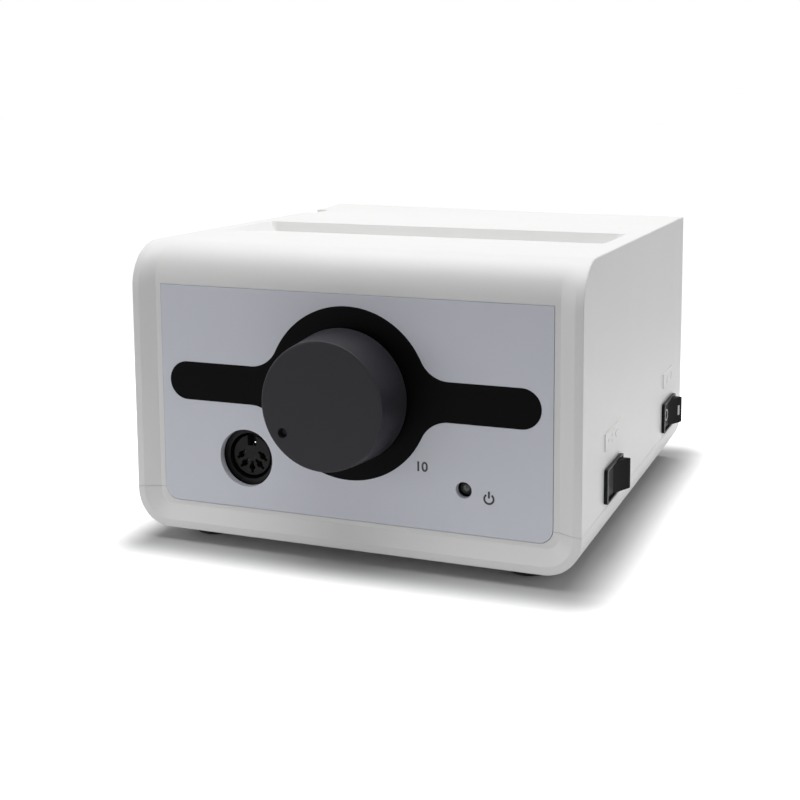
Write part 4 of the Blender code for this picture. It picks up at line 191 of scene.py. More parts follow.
class DialSizes(bpy.types.PropertyGroup):
    rear_radius: size("Rear radius", "Knob's radius at its skirt", (KNOB[1].x - KNOB[0].x) / 2)
    front_radius: size("Front radius", "Knob's radius at its face", 0.0176)
    rear: offset("Rear", "Skirt of the knob", KNOB[1].y - ORIGIN[1])
    front: offset("Front", "Face of the knob", KNOB[0].y - ORIGIN[1])
    edge: size("Edge", "Round edge of the face", 0.0006)
    small_edge: size("Skirt edge", "Round edges of the skirt", 0.0003)
    inner_edge: size("Inner edge", "Round edges inside the knob", 0.0005)
    hub_edge: size("Hub edge", "Round edges of the hub", 0.0002)
    skirt: size("Skirt", "Wall of the knob", 0.0016)
    face: size("Face", "Thickness of the face", 0.0026)
    hub: size("Hub", "Outer radius of the hub", 0.0075)
    hub_bore: size("Hub bore", "Radius of the hole for the brass insert", 0.0053)
    hub_rear: offset("Hub rear", "End of the hub", -0.0038)
    dimple_radius: size("Dimple radius", "Finger dimple in the face", 0.00135)
    dimple_depth: size("Dimple depth", "Depth of the dimple", 0.0019)
    dimple_out: size("Dimple place", "From the axis to the dimple", 0.0139)
    dimple_clock: turn("Dimple clock", "Clockwise from the top", 235.0)


class SocketSizes(bpy.types.PropertyGroup):
    radius: size("Insulator radius", "Radius of the insulator", 0.00585)
    face: offset("Insulator face", "Front of the insulator", 0.0053)
    slot_depth: size("Slot depth", "Depth of the slots beside the contacts", 0.0025)
    key_width: size("Key width", "Width of the key slot", 0.0027)
    key_depth: size("Key depth", "Depth of the key slot", 0.0030)
    circle: size("Contact circle", "From the axis to the contacts", 0.00345)
    hole: size("Contact hole", "Radius of a contact hole", 0.00095)
    slot_length: size("Slot length", "Length of the slot across a contact hole", 0.0035)
    slot_width: size("Slot width", "Width of that slot", 0.0008)
    edge: size("Edge", "Round edge of the insulator", 0.00012)
    core_edge: size("Core edge", "Round edges of the body behind it", 0.0001)
    step: offset("Step", "Where the body behind the insulator gets wider", 0.0146)
    rear: offset("Rear", "End of that body", 0.0186)
    rear_radius: size("Rear radius", "Its radius behind the step", 0.00645)
    sleeve_bore: size("Sleeve bore", "Inner radius of a contact's sleeve", 0.00045)
    sleeve_radius: size("Sleeve radius", "Outer radius of a sleeve", 0.00080)
    sleeve_tip: size("Sleeve tip", "Radius of a sleeve's foremost edge", 0.00062)
    sleeve_length: size("Sleeve length", "How far a sleeve stands into its hole", 0.0004)
    bead_radius: size("Bead radius", "Bright spring end in the key slot", 0.00045)
    bead_side: offset("Bead side", "From the slot's middle to the bead", 0.00060)
    bead_out: size("Bead out", "From the slot's floor forward to the bead", 0.0012)
    bead_rise: size("Bead rise", "From the slot's lower end up to the bead", 0.0008)


class LampSizes(bpy.types.PropertyGroup):
    radius: size("Radius", "Radius of the dome and the barrel", 0.0025)
    spring: offset("Spring", "Where the dome meets the barrel", 0.0060)
    flange: offset("Flange", "Front of the flange", 0.0106)
    flange_radius: size("Flange radius", "Radius of the flange", 0.0033)
    rear: offset("Rear", "Back of the flange", 0.0116)
    lead_side: size("Lead side", "From the axis to each lead", 0.00127)
    lead_radius: size("Lead radius", "Radius of a lead", 0.0003)
    lead_length: size("Lead length", "How far the leads stand out", 0.0060)


class SwitchSizes(bpy.types.PropertyGroup):
    level: size("Level", "Height of both switches", 0.01795)
    direction_y: offset("Direction switch", "Front switch, from the front rim", 0.03285)
    power_y: offset("Power switch", "Rear switch, from the front rim", 0.1124)
    window_length: size("Window length", "Opening in the wall, along", 0.0185)
    window_height: size("Window height", "Opening in the wall, up", 0.0096)
    apex: size("Apex", "From the pivot to the middle of the rocker's face", 0.0024)
    hollow: size("Hollow", "Depth of the hollow in each half of a rocker's face", 0.00012)
    half_height: size("Half height", "Half the height of a rocker", 0.00445)
    half_length: size("Half length", "From the pivot to a rocker's end", 0.0080)
    tip_edge: size("Tip edge", "Cut edge of a rocker's ends", 0.000275)
    edge: size("Edge", "Round edges along a rocker's two sides", 0.00025)
    keel: size("Keel", "From the pivot in to the rocker's inner edge", 0.0012)
    proud: size("Proud", "How far the face's middle stands before the wall", 0.0005)
    wall_x: offset("Wall", "Outer face of the right wall", 0.0672)
    ring_y: offset("Ring place", "Ring mark, from the pivot along the rocker", -0.0026)
    ring_radius: size("Ring radius", "Radius of the ring mark", 0.0018)
    ring_line: size("Ring line", "Width of its line", 0.00042)
    bar_y: offset("Bar place", "Bar mark, from the pivot along the rocker", 0.0060)
    bar_half: size("Bar", "Half the bar mark's height", 0.0016)
    bar_line: size("Bar line", "Width of the bar", 0.0008)
    mark_lift: size("Mark lift", "How far the marks stand out", 0.00010)
    swing: turn("Swing", "From one position to the other", 25.0)


class SignSizes(bpy.types.PropertyGroup):
    head: size("Head", "Length of an arrow's head", 0.0014)
    barb: size("Barb", "Half the width of an arrow's head", 0.0012)
    line: size("Line", "Width of an arrow's shaft", 0.0008)
    arrow_length: size("Arrow length", "Length of an arrow", 0.0052)
    arrow_gap: size("Arrow gap", "From the label's middle to each arrow", 0.0012)
    apart: size("Apart", "From the label's middle to the line and the ring", 0.0035)
    bar_half: size("Line half width", "Half the width of the line", 0.00035)
    ring: size("Ring", "Radius of the ring", 0.0015)
    ring_line: size("Ring line", "Width of the ring's line", 0.0005)


class FootSizes(bpy.types.PropertyGroup):
    radius: size("Radius", "Radius of a foot", 0.0065)
    chamfer: size("Chamfer", "Slope between a foot's wall and its sole", 0.0006)
    height: size("Height", "From the case's underside to the sole", 0.0040)
    top_gap: size("Top gap", "From the case's underside down to a foot", 0.0003)
    bore: size("Bore", "Radius of the hole for the screw's head", 0.0034)
    seat: size("Seat", "From the case's underside to the head's seat", 0.0018)
    screw_hole: size("Screw hole", "Radius of the hole for the screw", 0.0018)
    edge: size("Edge", "Round edges at the sole; the others have two thirds of it", 0.0003)


class Finishes(bpy.types.PropertyGroup):
    housing: colour("Housing", "White moulding", (0.87, 0.87, 0.862))
    plate: colour("Plate", "Pale blue-grey front plate", (0.72, 0.735, 0.81))
    film: colour("Film", "Black print film", (0.004, 0.004, 0.0042))
    knob: colour("Knob", "Dark grey knob", (0.024, 0.024, 0.029))
    black: colour("Black", "Black mouldings", (0.009, 0.009, 0.0095))
    insulator: colour("Insulator", "Socket's insulator", (0.020, 0.019, 0.018))
    ink: colour("Ink", "Printed legends", (0.010, 0.010, 0.012))
    mark: colour("Marks", "Light marks on the rockers", (0.70, 0.71, 0.73))


class ControlUnit(bpy.types.PropertyGroup):
    case: PointerProperty(type=CaseSizes, name="Case", description="Sizes of the shells")
    panel: PointerProperty(type=PanelSizes, name="Panel", description="Sizes of the plates")
    prints: PointerProperty(type=PrintSizes, name="Prints", description="Sizes of the legends")
    dial: PointerProperty(type=DialSizes, name="Dial", description="Sizes of the knob")
    socket: PointerProperty(type=SocketSizes, name="Socket", description="Sizes of the socket")
    lamp: PointerProperty(type=LampSizes, name="Lamp", description="Sizes of the lamp")
    switch: PointerProperty(type=SwitchSizes, name="Switch", description="Sizes of the switches")
    signs: PointerProperty(type=SignSizes, name="Signs", description="Signs of the labels")
    foot: PointerProperty(type=FootSizes, name="Foot", description="Sizes of the feet")
    finish: PointerProperty(type=Finishes, name="Finish", description="Colours of the pieces")


# Meshes

# Distances under which points, edges and grid lines count as one, a hair's breadth, and the angle
# up to which an edge is shaded smooth
SAME_POINT = 2e-6
NO_LENGTH = 1e-7
SAME_LINE = 2e-5
HAIR = 1e-5
SOFT_DEGREES = 32.0


def grid(points, keep=None, around=False):
    """A sheet over a grid of points, rows by columns: each cell is one four-sided face.

    keep leaves out cells, and around joins the last column to the first.
    """
    rows, columns = points.shape[:2]
    row, column = np.meshgrid(np.arange(rows - 1), np.arange(columns - (not around)),
                              indexing="ij")
    ahead = (column + 1) % columns
    faces = np.stack([row * columns + column, row * columns + ahead,
                      (row + 1) * columns + ahead, (row + 1) * columns + column], axis=-1)
    faces = faces[keep] if keep is not None else faces.reshape(-1, 4)
    return points.reshape(-1, 3), faces


def middles(values):
    """The mean of the four corners of every cell of a grid."""
    return (values[1:, 1:] + values[1:, :-1] + values[:-1, 1:] + values[:-1, :-1]) / 4


def merge(mesh, facing=None):
    """Joins points that coincide and turns every face outwards.

    On an open sheet, the face that lies furthest along facing must look along it.
    """
    body = bmesh.new()
    body.from_mesh(mesh)
    bmesh.ops.remove_doubles(body, verts=body.verts, dist=SAME_POINT)
    bmesh.ops.dissolve_degenerate(body, edges=body.edges, dist=NO_LENGTH)
    bmesh.ops.recalc_face_normals(body, faces=body.faces)
    if facing is not None:
        body.normal_update()
        last = max(body.faces, key=lambda face: face.calc_center_median().dot(facing))
        if last.normal.dot(facing) < 0:
            bmesh.ops.reverse_faces(body, faces=body.faces)
    body.to_mesh(mesh)
    body.free()


def settle(thing, sharp):
    """Writes a piece's modifiers into its mesh, and shades it smooth between sharp edges."""
    settled = bpy.data.meshes.new_from_object(
        thing.evaluated_get(bpy.context.evaluated_depsgraph_get()))
    thing.modifiers.clear()
    thing.data = settled
    settled.shade_smooth()
    settled.set_sharp_from_angle(angle=math.radians(sharp))
    weigh = thing.modifiers.new("even_shading", "WEIGHTED_NORMAL")
    weigh.keep_sharp = True


def add_piece(name, mesh, finish, body, replaces=()):
    """Shows a mesh as a piece of the object, moving with a body."""
    thing = bpy.data.objects.new(name, mesh)
    bpy.context.scene.collection.objects.link(thing)
    mesh.materials.clear()
    mesh.materials.append(finish)
    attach(thing, body)
    if replaces:
        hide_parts(*replaces)
    return thing


def sheet_piece(name, sheets, finish, body, replaces=(), facing=None, wall=0.0,
                sharp=SOFT_DEGREES):
    """Makes one piece of several sheets; wall thickens them inwards."""
    first, points, faces = 0, [], []
    for sheet_points, sheet_faces in sheets:
        points.append(sheet_points + ORIGIN)
        faces.append(sheet_faces + first)
        first += len(sheet_points)
    mesh = bpy.data.meshes.new(name)
    mesh.from_pydata(np.concatenate(points).tolist(), [], np.concatenate(faces).tolist())
    merge(mesh, facing)
    thing = add_piece(name, mesh, finish, body, replaces)
    if wall:
        solid = thing.modifiers.new("wall", "SOLIDIFY")
        solid.thickness, solid.offset = wall, -1.0
    count = len(mesh.vertices)
    settle(thing, sharp)
    if wall:
        tuck(thing.data, count, wall)
    return thing


def tuck(mesh, count, wall):
    """Draws the inner skin, the points after the first count, in behind the outer skin's box."""
    spots = np.empty(len(mesh.vertices) * 3)
    mesh.vertices.foreach_get("co", spots)
    spots = spots.reshape(-1, 3)
    low, high = spots[:count].min(axis=0) + wall / 2, spots[:count].max(axis=0) - wall / 2
    spots[count:, :2] = np.clip(spots[count:, :2], low[:2], high[:2])
    mesh.vertices.foreach_set("co", spots.ravel())
    mesh.update()


def filled_mesh(name, curve):
    """The mesh that a filled curve shows."""
    flat = bpy.data.objects.new(name, curve)
    bpy.context.scene.collection.objects.link(flat)
    mesh = bpy.data.meshes.new_from_object(
        flat.evaluated_get(bpy.context.evaluated_depsgraph_get()))
    bpy.data.objects.remove(flat)
    mesh.name = name
    return mesh


def plate_piece(name, outlines, near, far, finish, body, replaces=(), edge=0.0, axis="Y",
                move=None, sharp=SOFT_DEGREES):
    """Makes a flat plate from closed outlines, the inner ones being holes, with rounded edges.

    The outlines lie in X and Z and the plate runs in Y from near to far, or for axis Z they lie
    in X and Y and it runs in Z.
    """
    curve = bpy.data.curves.new(name, "CURVE")
    curve.dimensions, curve.fill_mode = "2D", "BOTH"
    curve.extrude = abs(far - near) / 2 - edge
    curve.bevel_depth, curve.offset, curve.bevel_resolution = edge, -edge, 1 if edge else 0
    for outline in outlines:
        spline = curve.splines.new("POLY")
        spline.points.add(len(outline) - 1)
        spline.points.foreach_set("co", np.column_stack(
            [outline, np.zeros(len(outline)), np.ones(len(outline))]).ravel())
        spline.use_cyclic_u = True
    mesh = filled_mesh(name, curve)
    middle = (near + far) / 2
    if axis == "Y":
        mesh.transform(Matrix.Rotation(math.pi / 2, 4, "X"))
        mesh.transform(Matrix.Translation((0.0, middle, 0.0)))
    else:
        mesh.transform(Matrix.Translation((0.0, 0.0, middle)))
    if move is not None:
        mesh.transform(move)
    mesh.transform(Matrix.Translation(ORIGIN))
    merge(mesh)
    thing = add_piece(name, mesh, finish, body, replaces)
    settle(thing, sharp)
    return thing


# Curves and surfaces

def span(start, end, count):
    """Evenly spread values."""
    return np.linspace(start, end, count)


def lines(*parts):
    """Grid lines in rising order, without near doubles."""
    values = np.sort(np.concatenate([np.atleast_1d(part) for part in parts]))
    return values[np.append(True, np.diff(values) > SAME_LINE)]


def arc(centre, radius, start, end, count):
    """Points on an arc, from start to end in degrees."""
    angle = np.radians(span(start, end, count))
    return np.column_stack([centre[0] + radius * np.cos(angle),
                            centre[1] + radius * np.sin(angle)])


def box_outline(middle, half, radius, square_top=False):
    """A rectangle with round corners, or with only its lower two round."""
    x, z = half[0] - radius, half[1] - radius
    top = [[half[0], half[1]], [-half[0], half[1]]]
    lower = [arc((-x, -z), radius, 180, 270, 9), arc((x, -z), radius, 270, 360, 9)]
    if not square_top:
        top = np.concatenate([arc((x, z), radius, 0, 90, 9), arc((-x, z), radius, 90, 180, 9)])
    return np.concatenate([top] + lower) + middle


def turns(count):
    """Angles spread evenly over a full turn."""
    return span(0.0, 2 * math.pi, count + 1)[:-1]


def revolve(profile, angles, centre, axis="Y"):
    """Carries a profile of radius and place along the axis round that axis, through angles."""
    radius, along = profile[:, :1], profile[:, 1:]
    first = radius * np.sin(angles)
    second = radius * np.cos(angles)
    along = along + 0 * angles
    order = (first, along, second) if axis == "Y" else (first, second, along)
    return np.stack(order, axis=-1) + centre


def soften(profile, radii, count=5):
    """Rounds the corners of an open profile, each by its own radius, with a quadratic curve."""
    parts = [profile[:1]]
    share = span(0.0, 1.0, count)[:, None]
    for index, radius in enumerate(radii, start=1):
        before, corner, after = profile[index - 1:index + 2]
        start = corner + (before - corner) * radius / np.linalg.norm(before - corner)
        end = corner + (after - corner) * radius / np.linalg.norm(after - corner)
        parts.append(start * (1 - share) ** 2 + 2 * corner * share * (1 - share)
                     + end * share ** 2)
    return np.concatenate(parts + [profile[-1:]])


def film_outline(panel, inset=0.0):
    """The film about the dial: a disc and a round-ended ribbon whose inner corners are filleted.

    A fillet's middle lies where the circles of disc plus fillet and ribbon plus fillet meet.
    """
    disc, rise = panel.film_disc - inset, panel.ribbon_rise - inset
    fillet, end = panel.fillet + inset, panel.ribbon_half - panel.ribbon_rise
    x = math.sqrt((disc + fillet) ** 2 - (rise + fillet) ** 2)
    lean = math.degrees(math.atan2(rise + fillet, x))
    quarter = np.concatenate([
        arc((end, 0.0), rise, 0, 90, 16),
        arc((x, rise + fillet), fillet, 270, 180 + lean, 14),
        arc((0.0, 0.0), disc, lean, 90, 24)[1:],
    ])
    left = quarter[::-1] * (-1, 1)
    upper = np.concatenate([quarter, left[1:]])
    lower = upper[::-1] * (1, -1)
    outline = np.concatenate([upper, lower[1:-1]])
    outline[:, 0] -= panel.ribbon_cut * (outline[:, 0] > end - panel.ribbon_cut)
    return outline


# Finishes

# Where most of a noise pattern's values lie, and the scales and shares of the patterns
NOISE_MIDDLE = (0.3, 0.7)
FINE = 2600.0
CLOUDS, WEAR, WEAR_SHARE = 38.0, 210.0, 0.08
DRAWN, STREAKS, STREAK_SHARE = 900.0, 120.0, 0.06
DRAWN_ROUGHNESS = np.array([0.8, 1.25])
BOARD_BANDS = {"Scale": 95.0, "Distortion": 2.5, "Detail Scale": 40.0}
WINDING_BANDS = {"Scale": 230.0, "Distortion": 0.4}
GLASS_LINES = 300.0


def base_finish(name, shade, roughness, metallic=0.0):
    """A material with its shader, and object coordinates for its patterns."""
    finish = bpy.data.materials.new(name)
    finish.use_nodes = True
    finish.diffuse_color = (*shade, 1.0)
    nodes, links = finish.node_tree.nodes, finish.node_tree.links
    shader = nodes["Principled BSDF"]
    shader.inputs["Base Color"].default_value = (*shade, 1.0)
    shader.inputs["Roughness"].default_value = roughness
    shader.inputs["Metallic"].default_value = metallic
    return finish, nodes, links, shader, nodes.new("ShaderNodeTexCoord").outputs["Object"]


def noise(nodes, links, vector, scale, detail=2.0, stretch=None):
    """A noise pattern; stretch draws it out along the axes."""
    if stretch is not None:
        mapping = nodes.new("ShaderNodeMapping")
        mapping.inputs["Scale"].default_value = stretch
        links.new(vector, mapping.inputs["Vector"])
        vector = mapping.outputs["Vector"]
    pattern = nodes.new("ShaderNodeTexNoise")
    pattern.inputs["Scale"].default_value = scale
    pattern.inputs["Detail"].default_value = detail
    links.new(vector, pattern.inputs["Vector"])
    return pattern.outputs["Fac"]


def ranged(nodes, links, value, *numbers):
    """Maps a value from a range, the first two numbers, onto another, the last two."""
    step = nodes.new("ShaderNodeMapRange")
    for socket, number in zip(("From Min", "From Max", "To Min", "To Max"), numbers):
        step.inputs[socket].default_value = number
    links.new(value, step.inputs["Value"])
    return step


def spread(nodes, links, value, low, high):
    """Maps the middle of a noise pattern onto a range."""
    return ranged(nodes, links, value, *NOISE_MIDDLE, low, high).outputs["Result"]


def vary(nodes, links, shader, value, shade, amount):
    """Lets a pattern move the base colour a little darker and lighter."""
    mix = nodes.new("ShaderNodeMix")
    mix.data_type = "RGBA"
    mix.inputs[6].default_value = (*[part * (1 - amount) for part in shade], 1.0)
    mix.inputs[7].default_value = (*[min(1.0, part * (1 + amount)) for part in shade], 1.0)
    links.new(spread(nodes, links, value, 0.0, 1.0), mix.inputs[0])
    links.new(mix.outputs[2], shader.inputs["Base Color"])


def roughen(nodes, links, shader, value, depth, strength=1.0):
    """Turns a pattern into a bump of a given depth."""
    bump = nodes.new("ShaderNodeBump")
    bump.inputs["Distance"].default_value = depth
    bump.inputs["Strength"].default_value = strength
    links.new(value, bump.inputs["Height"])
    links.new(bump.outputs["Normal"], shader.inputs["Normal"])


def plastic(name, shade, roughness, mottle=0.015, grain=FINE, depth=0.00001, spec=0.5):
    """Moulded plastic: a fine spark-eroded grain and faint cloudy changes of shade and gloss."""
    finish, nodes, links, shader, place = base_finish(name, shade, roughness)
    shader.inputs["Specular IOR Level"].default_value = spec
    cloud = noise(nodes, links, place, CLOUDS, 3.0)
    vary(nodes, links, shader, cloud, shade, mottle)
    wear = noise(nodes, links, place, WEAR, 4.0)
    links.new(spread(nodes, links, wear, roughness * (1 - WEAR_SHARE),
                     roughness * (1 + WEAR_SHARE)), shader.inputs["Roughness"])
    roughen(nodes, links, shader, noise(nodes, links, place, grain, 1.0), depth)
    return finish


def metal(name, shade, roughness, stretch=(1.0, 1.0, 1.0), depth=0.000004):
    """Metal with fine drawn lines along one axis."""
    finish, nodes, links, shader, place = base_finish(name, shade, roughness, 1.0)
    drawn = noise(nodes, links, place, DRAWN, 3.0, stretch)
    vary(nodes, links, shader, noise(nodes, links, place, STREAKS), shade, STREAK_SHARE)
    links.new(spread(nodes, links, drawn, *roughness * DRAWN_ROUGHNESS),
              shader.inputs["Roughness"])
    roughen(nodes, links, shader, drawn, depth)
    return finish


def banded(name, shade, roughness, pattern, amount, depth, direction="X"):
    """Bands that change the shade a little and stand out: copper tracks, or turns of wire."""
    finish, nodes, links, shader, place = base_finish(name, shade, roughness)
    bands = nodes.new("ShaderNodeTexWave")
    bands.bands_direction = direction
    for word, value in pattern.items():
        bands.inputs[word].default_value = value
    links.new(place, bands.inputs["Vector"])
    vary(nodes, links, shader, bands.outputs["Fac"], shade, amount)
    roughen(nodes, links, shader, bands.outputs["Fac"], depth)
    return finish


def glass_finish(name, shade):
    """Clear glass with faint drawing lines."""
    finish, nodes, links, shader, place = base_finish(name, shade, 0.03)
    shader.inputs["Transmission Weight"].default_value = 0.9
    drawn = noise(nodes, links, place, GLASS_LINES, 1.0, (1.0, 0.1, 1.0))
    roughen(nodes, links, shader, drawn, 0.00001)
    return finish


FINISHES = {}


def make_finishes(colours):
    """All materials, by the slot of the record that they stand for."""
    lamination = (1.0, 14.0, 1.0)
    FINISHES.update({
        "white_housing": plastic("white_moulding", colours.housing, 0.42, 0.006),
        "front_plate": plastic("blue_grey_plate", colours.plate, 0.34, 0.008, 1500.0, 0.000004),
        "black_film": plastic("black_film", colours.film, 0.40, 0.05, 1800.0, 0.000004, 0.03),
        "foot_rubber": plastic("foot_rubber", (0.022, 0.022, 0.022), 0.75, 0.10, 900.0, 0.00004),
        "screw_steel": metal("plated_steel", (0.58, 0.58, 0.58), 0.30),
        "zinc_plate": metal("zinc_plate", (0.62, 0.63, 0.64), 0.36),
        "core_steel": metal("varnished_core", (0.20, 0.20, 0.21), 0.45, lamination, 0.00003),
        "knob_plastic": plastic("knob_grey", colours.knob, 0.40, 0.03, 2200.0, 0.000006, 0.17),
        "black_plastic": plastic("black_moulding", colours.black, 0.34, 0.05, FINE, 0.00001,
                                 0.12),
        "rocker_plastic": plastic("rocker_black", colours.black, 0.36, 0.05, FINE, 0.000003,
                                  0.03),
        "grey_insulator": plastic("insulator_grey", colours.insulator, 0.50, 0.05, FINE, 0.00001,
                                  0.10),
        "brown_phenolic": plastic("brown_phenolic", (0.33, 0.17, 0.07), 0.55, 0.15, 700.0,
                                  0.00002),
        "contact_brass": metal("contact_brass", (0.72, 0.52, 0.22), 0.28),
        "lamp_lens": plastic("lamp_lens", (0.030, 0.034, 0.030), 0.12, 0.05, 400.0, 0.000002),
        "board_green": banded("board_green", (0.03, 0.16, 0.06), 0.35, BOARD_BANDS, 0.35, 0.00003),
        "capacitor_sleeve": plastic("capacitor_sleeve", (0.03, 0.06, 0.16), 0.22, 0.04, 500.0,
                                    0.00001),
        "cream_plastic": plastic("cream_moulding", (0.80, 0.80, 0.74), 0.50, 0.02),
        "sink_aluminium": metal("sink_aluminium", (0.70, 0.71, 0.72), 0.34, (1.0, 1.0, 0.05)),
        "taped_copper": banded("taped_winding", (0.78, 0.58, 0.10), 0.38, WINDING_BANDS, 0.10,
                               0.00006, "Z"),
        "fuse_glass": glass_finish("fuse_glass", (0.75, 0.80, 0.80)),
    })
    # Brass contacts darkened to near black: painted shade of the deep holes they sit in
    FINISHES["contact_painted_shade"] = metal("contact_painted_shade", (0.14, 0.11, 0.10), 0.45)
    FINISHES["polished_steel"] = metal("polished_steel", (0.92, 0.92, 0.92), 0.18)
    FINISHES["ink"] = plastic("legend_ink", colours.ink, 0.45, 0.05, 900.0, 0.000003)
    FINISHES["mark"] = plastic("rocker_mark", colours.mark, 0.45, 0.03, 900.0, 0.000003)


NODE_SLOTS = {
    "zinc_plate": ("pot_bush", "pot_can", "transformer_strap", "foot_jack"),
    "screw_steel": ("foot_jack_nut", "pot_shaft", "pot_washer", "pot_nut", "socket_screw_left",
                    "socket_screw_right", "board_screw_front", "board_screw_rear",
                    "transistor_screw", "transformer_screw_left", "transformer_screw_right",
                    "inlet_screw_left", "inlet_screw_right",
                    "case_screw_front_left", "case_screw_front_right", "case_screw_rear_left",
                    "case_screw_rear_right"),
    "core_steel": ("transformer_core",),
    "black_plastic": ("socket_shell", "lamp_holder", "direction_switch", "power_switch",
                      "bridge_rectifier", "control_chip", "power_transistor", "mains_inlet",
                      "fuse_holder", "fuse_holder_nut", "fuse_cap", "direction_relay"),
    "brown_phenolic": ("pot_wafer",),
    "contact_brass": ("knob_insert", "mains_pin_neutral", "mains_pin_live", "mains_pin_earth"),
    "board_green": ("circuit_board",),
    "capacitor_sleeve": ("filter_capacitor",),
    "cream_plastic": ("plug_header", "transformer_bobbin"),
    "sink_aluminium": ("heat_sink",),
    "taped_copper": ("transformer_winding",),
    "fuse_glass": ("fuse",),
}


# Shells

def top_relief(case, x, y):
    """How far the top rises or sinks at a place.

    The trough's floor falls evenly to the back until its steep rear wall meets it; its ends and
    the notch lean a little, the rear pad is a slope that starts below the top and rises less and
    less towards the right, and the mould mark is a shallow bowl.
    """
    foot = case.trough_rear - case.trough_draft
    floor = np.minimum((y - case.trough_front) / (foot - case.trough_front),
                       (case.trough_rear - y) / case.trough_draft)
    ends = (case.trough_half - abs(x)) / case.trough_lead
    relief = -case.trough_depth * np.clip(floor, 0, 1) * np.clip(ends, 0, 1)
    notch = np.clip(np.minimum(y - case.notch_front, case.notch_rear - y) / case.gap, 0, 1)
    inner = np.clip((case.notch_width - case.width / 2 - x) / case.gap, 0, 1)
    relief -= case.notch_depth * notch * inner
    slope = (y - case.notch_rear) / (case.depth - case.notch_rear)
    rise = case.pad_rise + (0.5 + x / case.width) * (-case.pad_sink - case.pad_rise)
    pad = slope * (rise + case.notch_depth / 4) - case.notch_depth / 4
    relief += np.clip(pad, 0, None)
    bowl = 1 - ((x - case.mark_x) ** 2 + (y - case.mark_y) ** 2) / case.mark_radius ** 2
    return relief - case.mark_radius / 4 * np.clip(bowl, 0, 1)


def windows(switch):
    """Middle and half size of the two switch windows in the right wall, along and up."""
    half = (switch.window_length / 2, switch.window_height / 2)
    return [((y, switch.level), half) for y in (switch.direction_y, switch.power_y)]


# Where the front and the rear label start and end, from the front rim
LABEL_SPANS = ((0.0235, 0.0426), (0.1040, 0.1215))


def label_relief(case, y, z):
    """The raised labels on the right wall: a low plateau with a short slope all round."""
    relief = 0 * y
    for start, end in LABEL_SPANS:
        inside = np.minimum(np.minimum(y - start, end - y),
                            np.minimum(z - case.label_low, case.label_high - z))
        relief = relief + case.label_lift * np.clip(inside / case.label_edge, 0, 1)
    return relief


# Extra rows on the front, as shares of its height up to the brow
FRONT_ROWS = span(0.35, 0.85, 6)


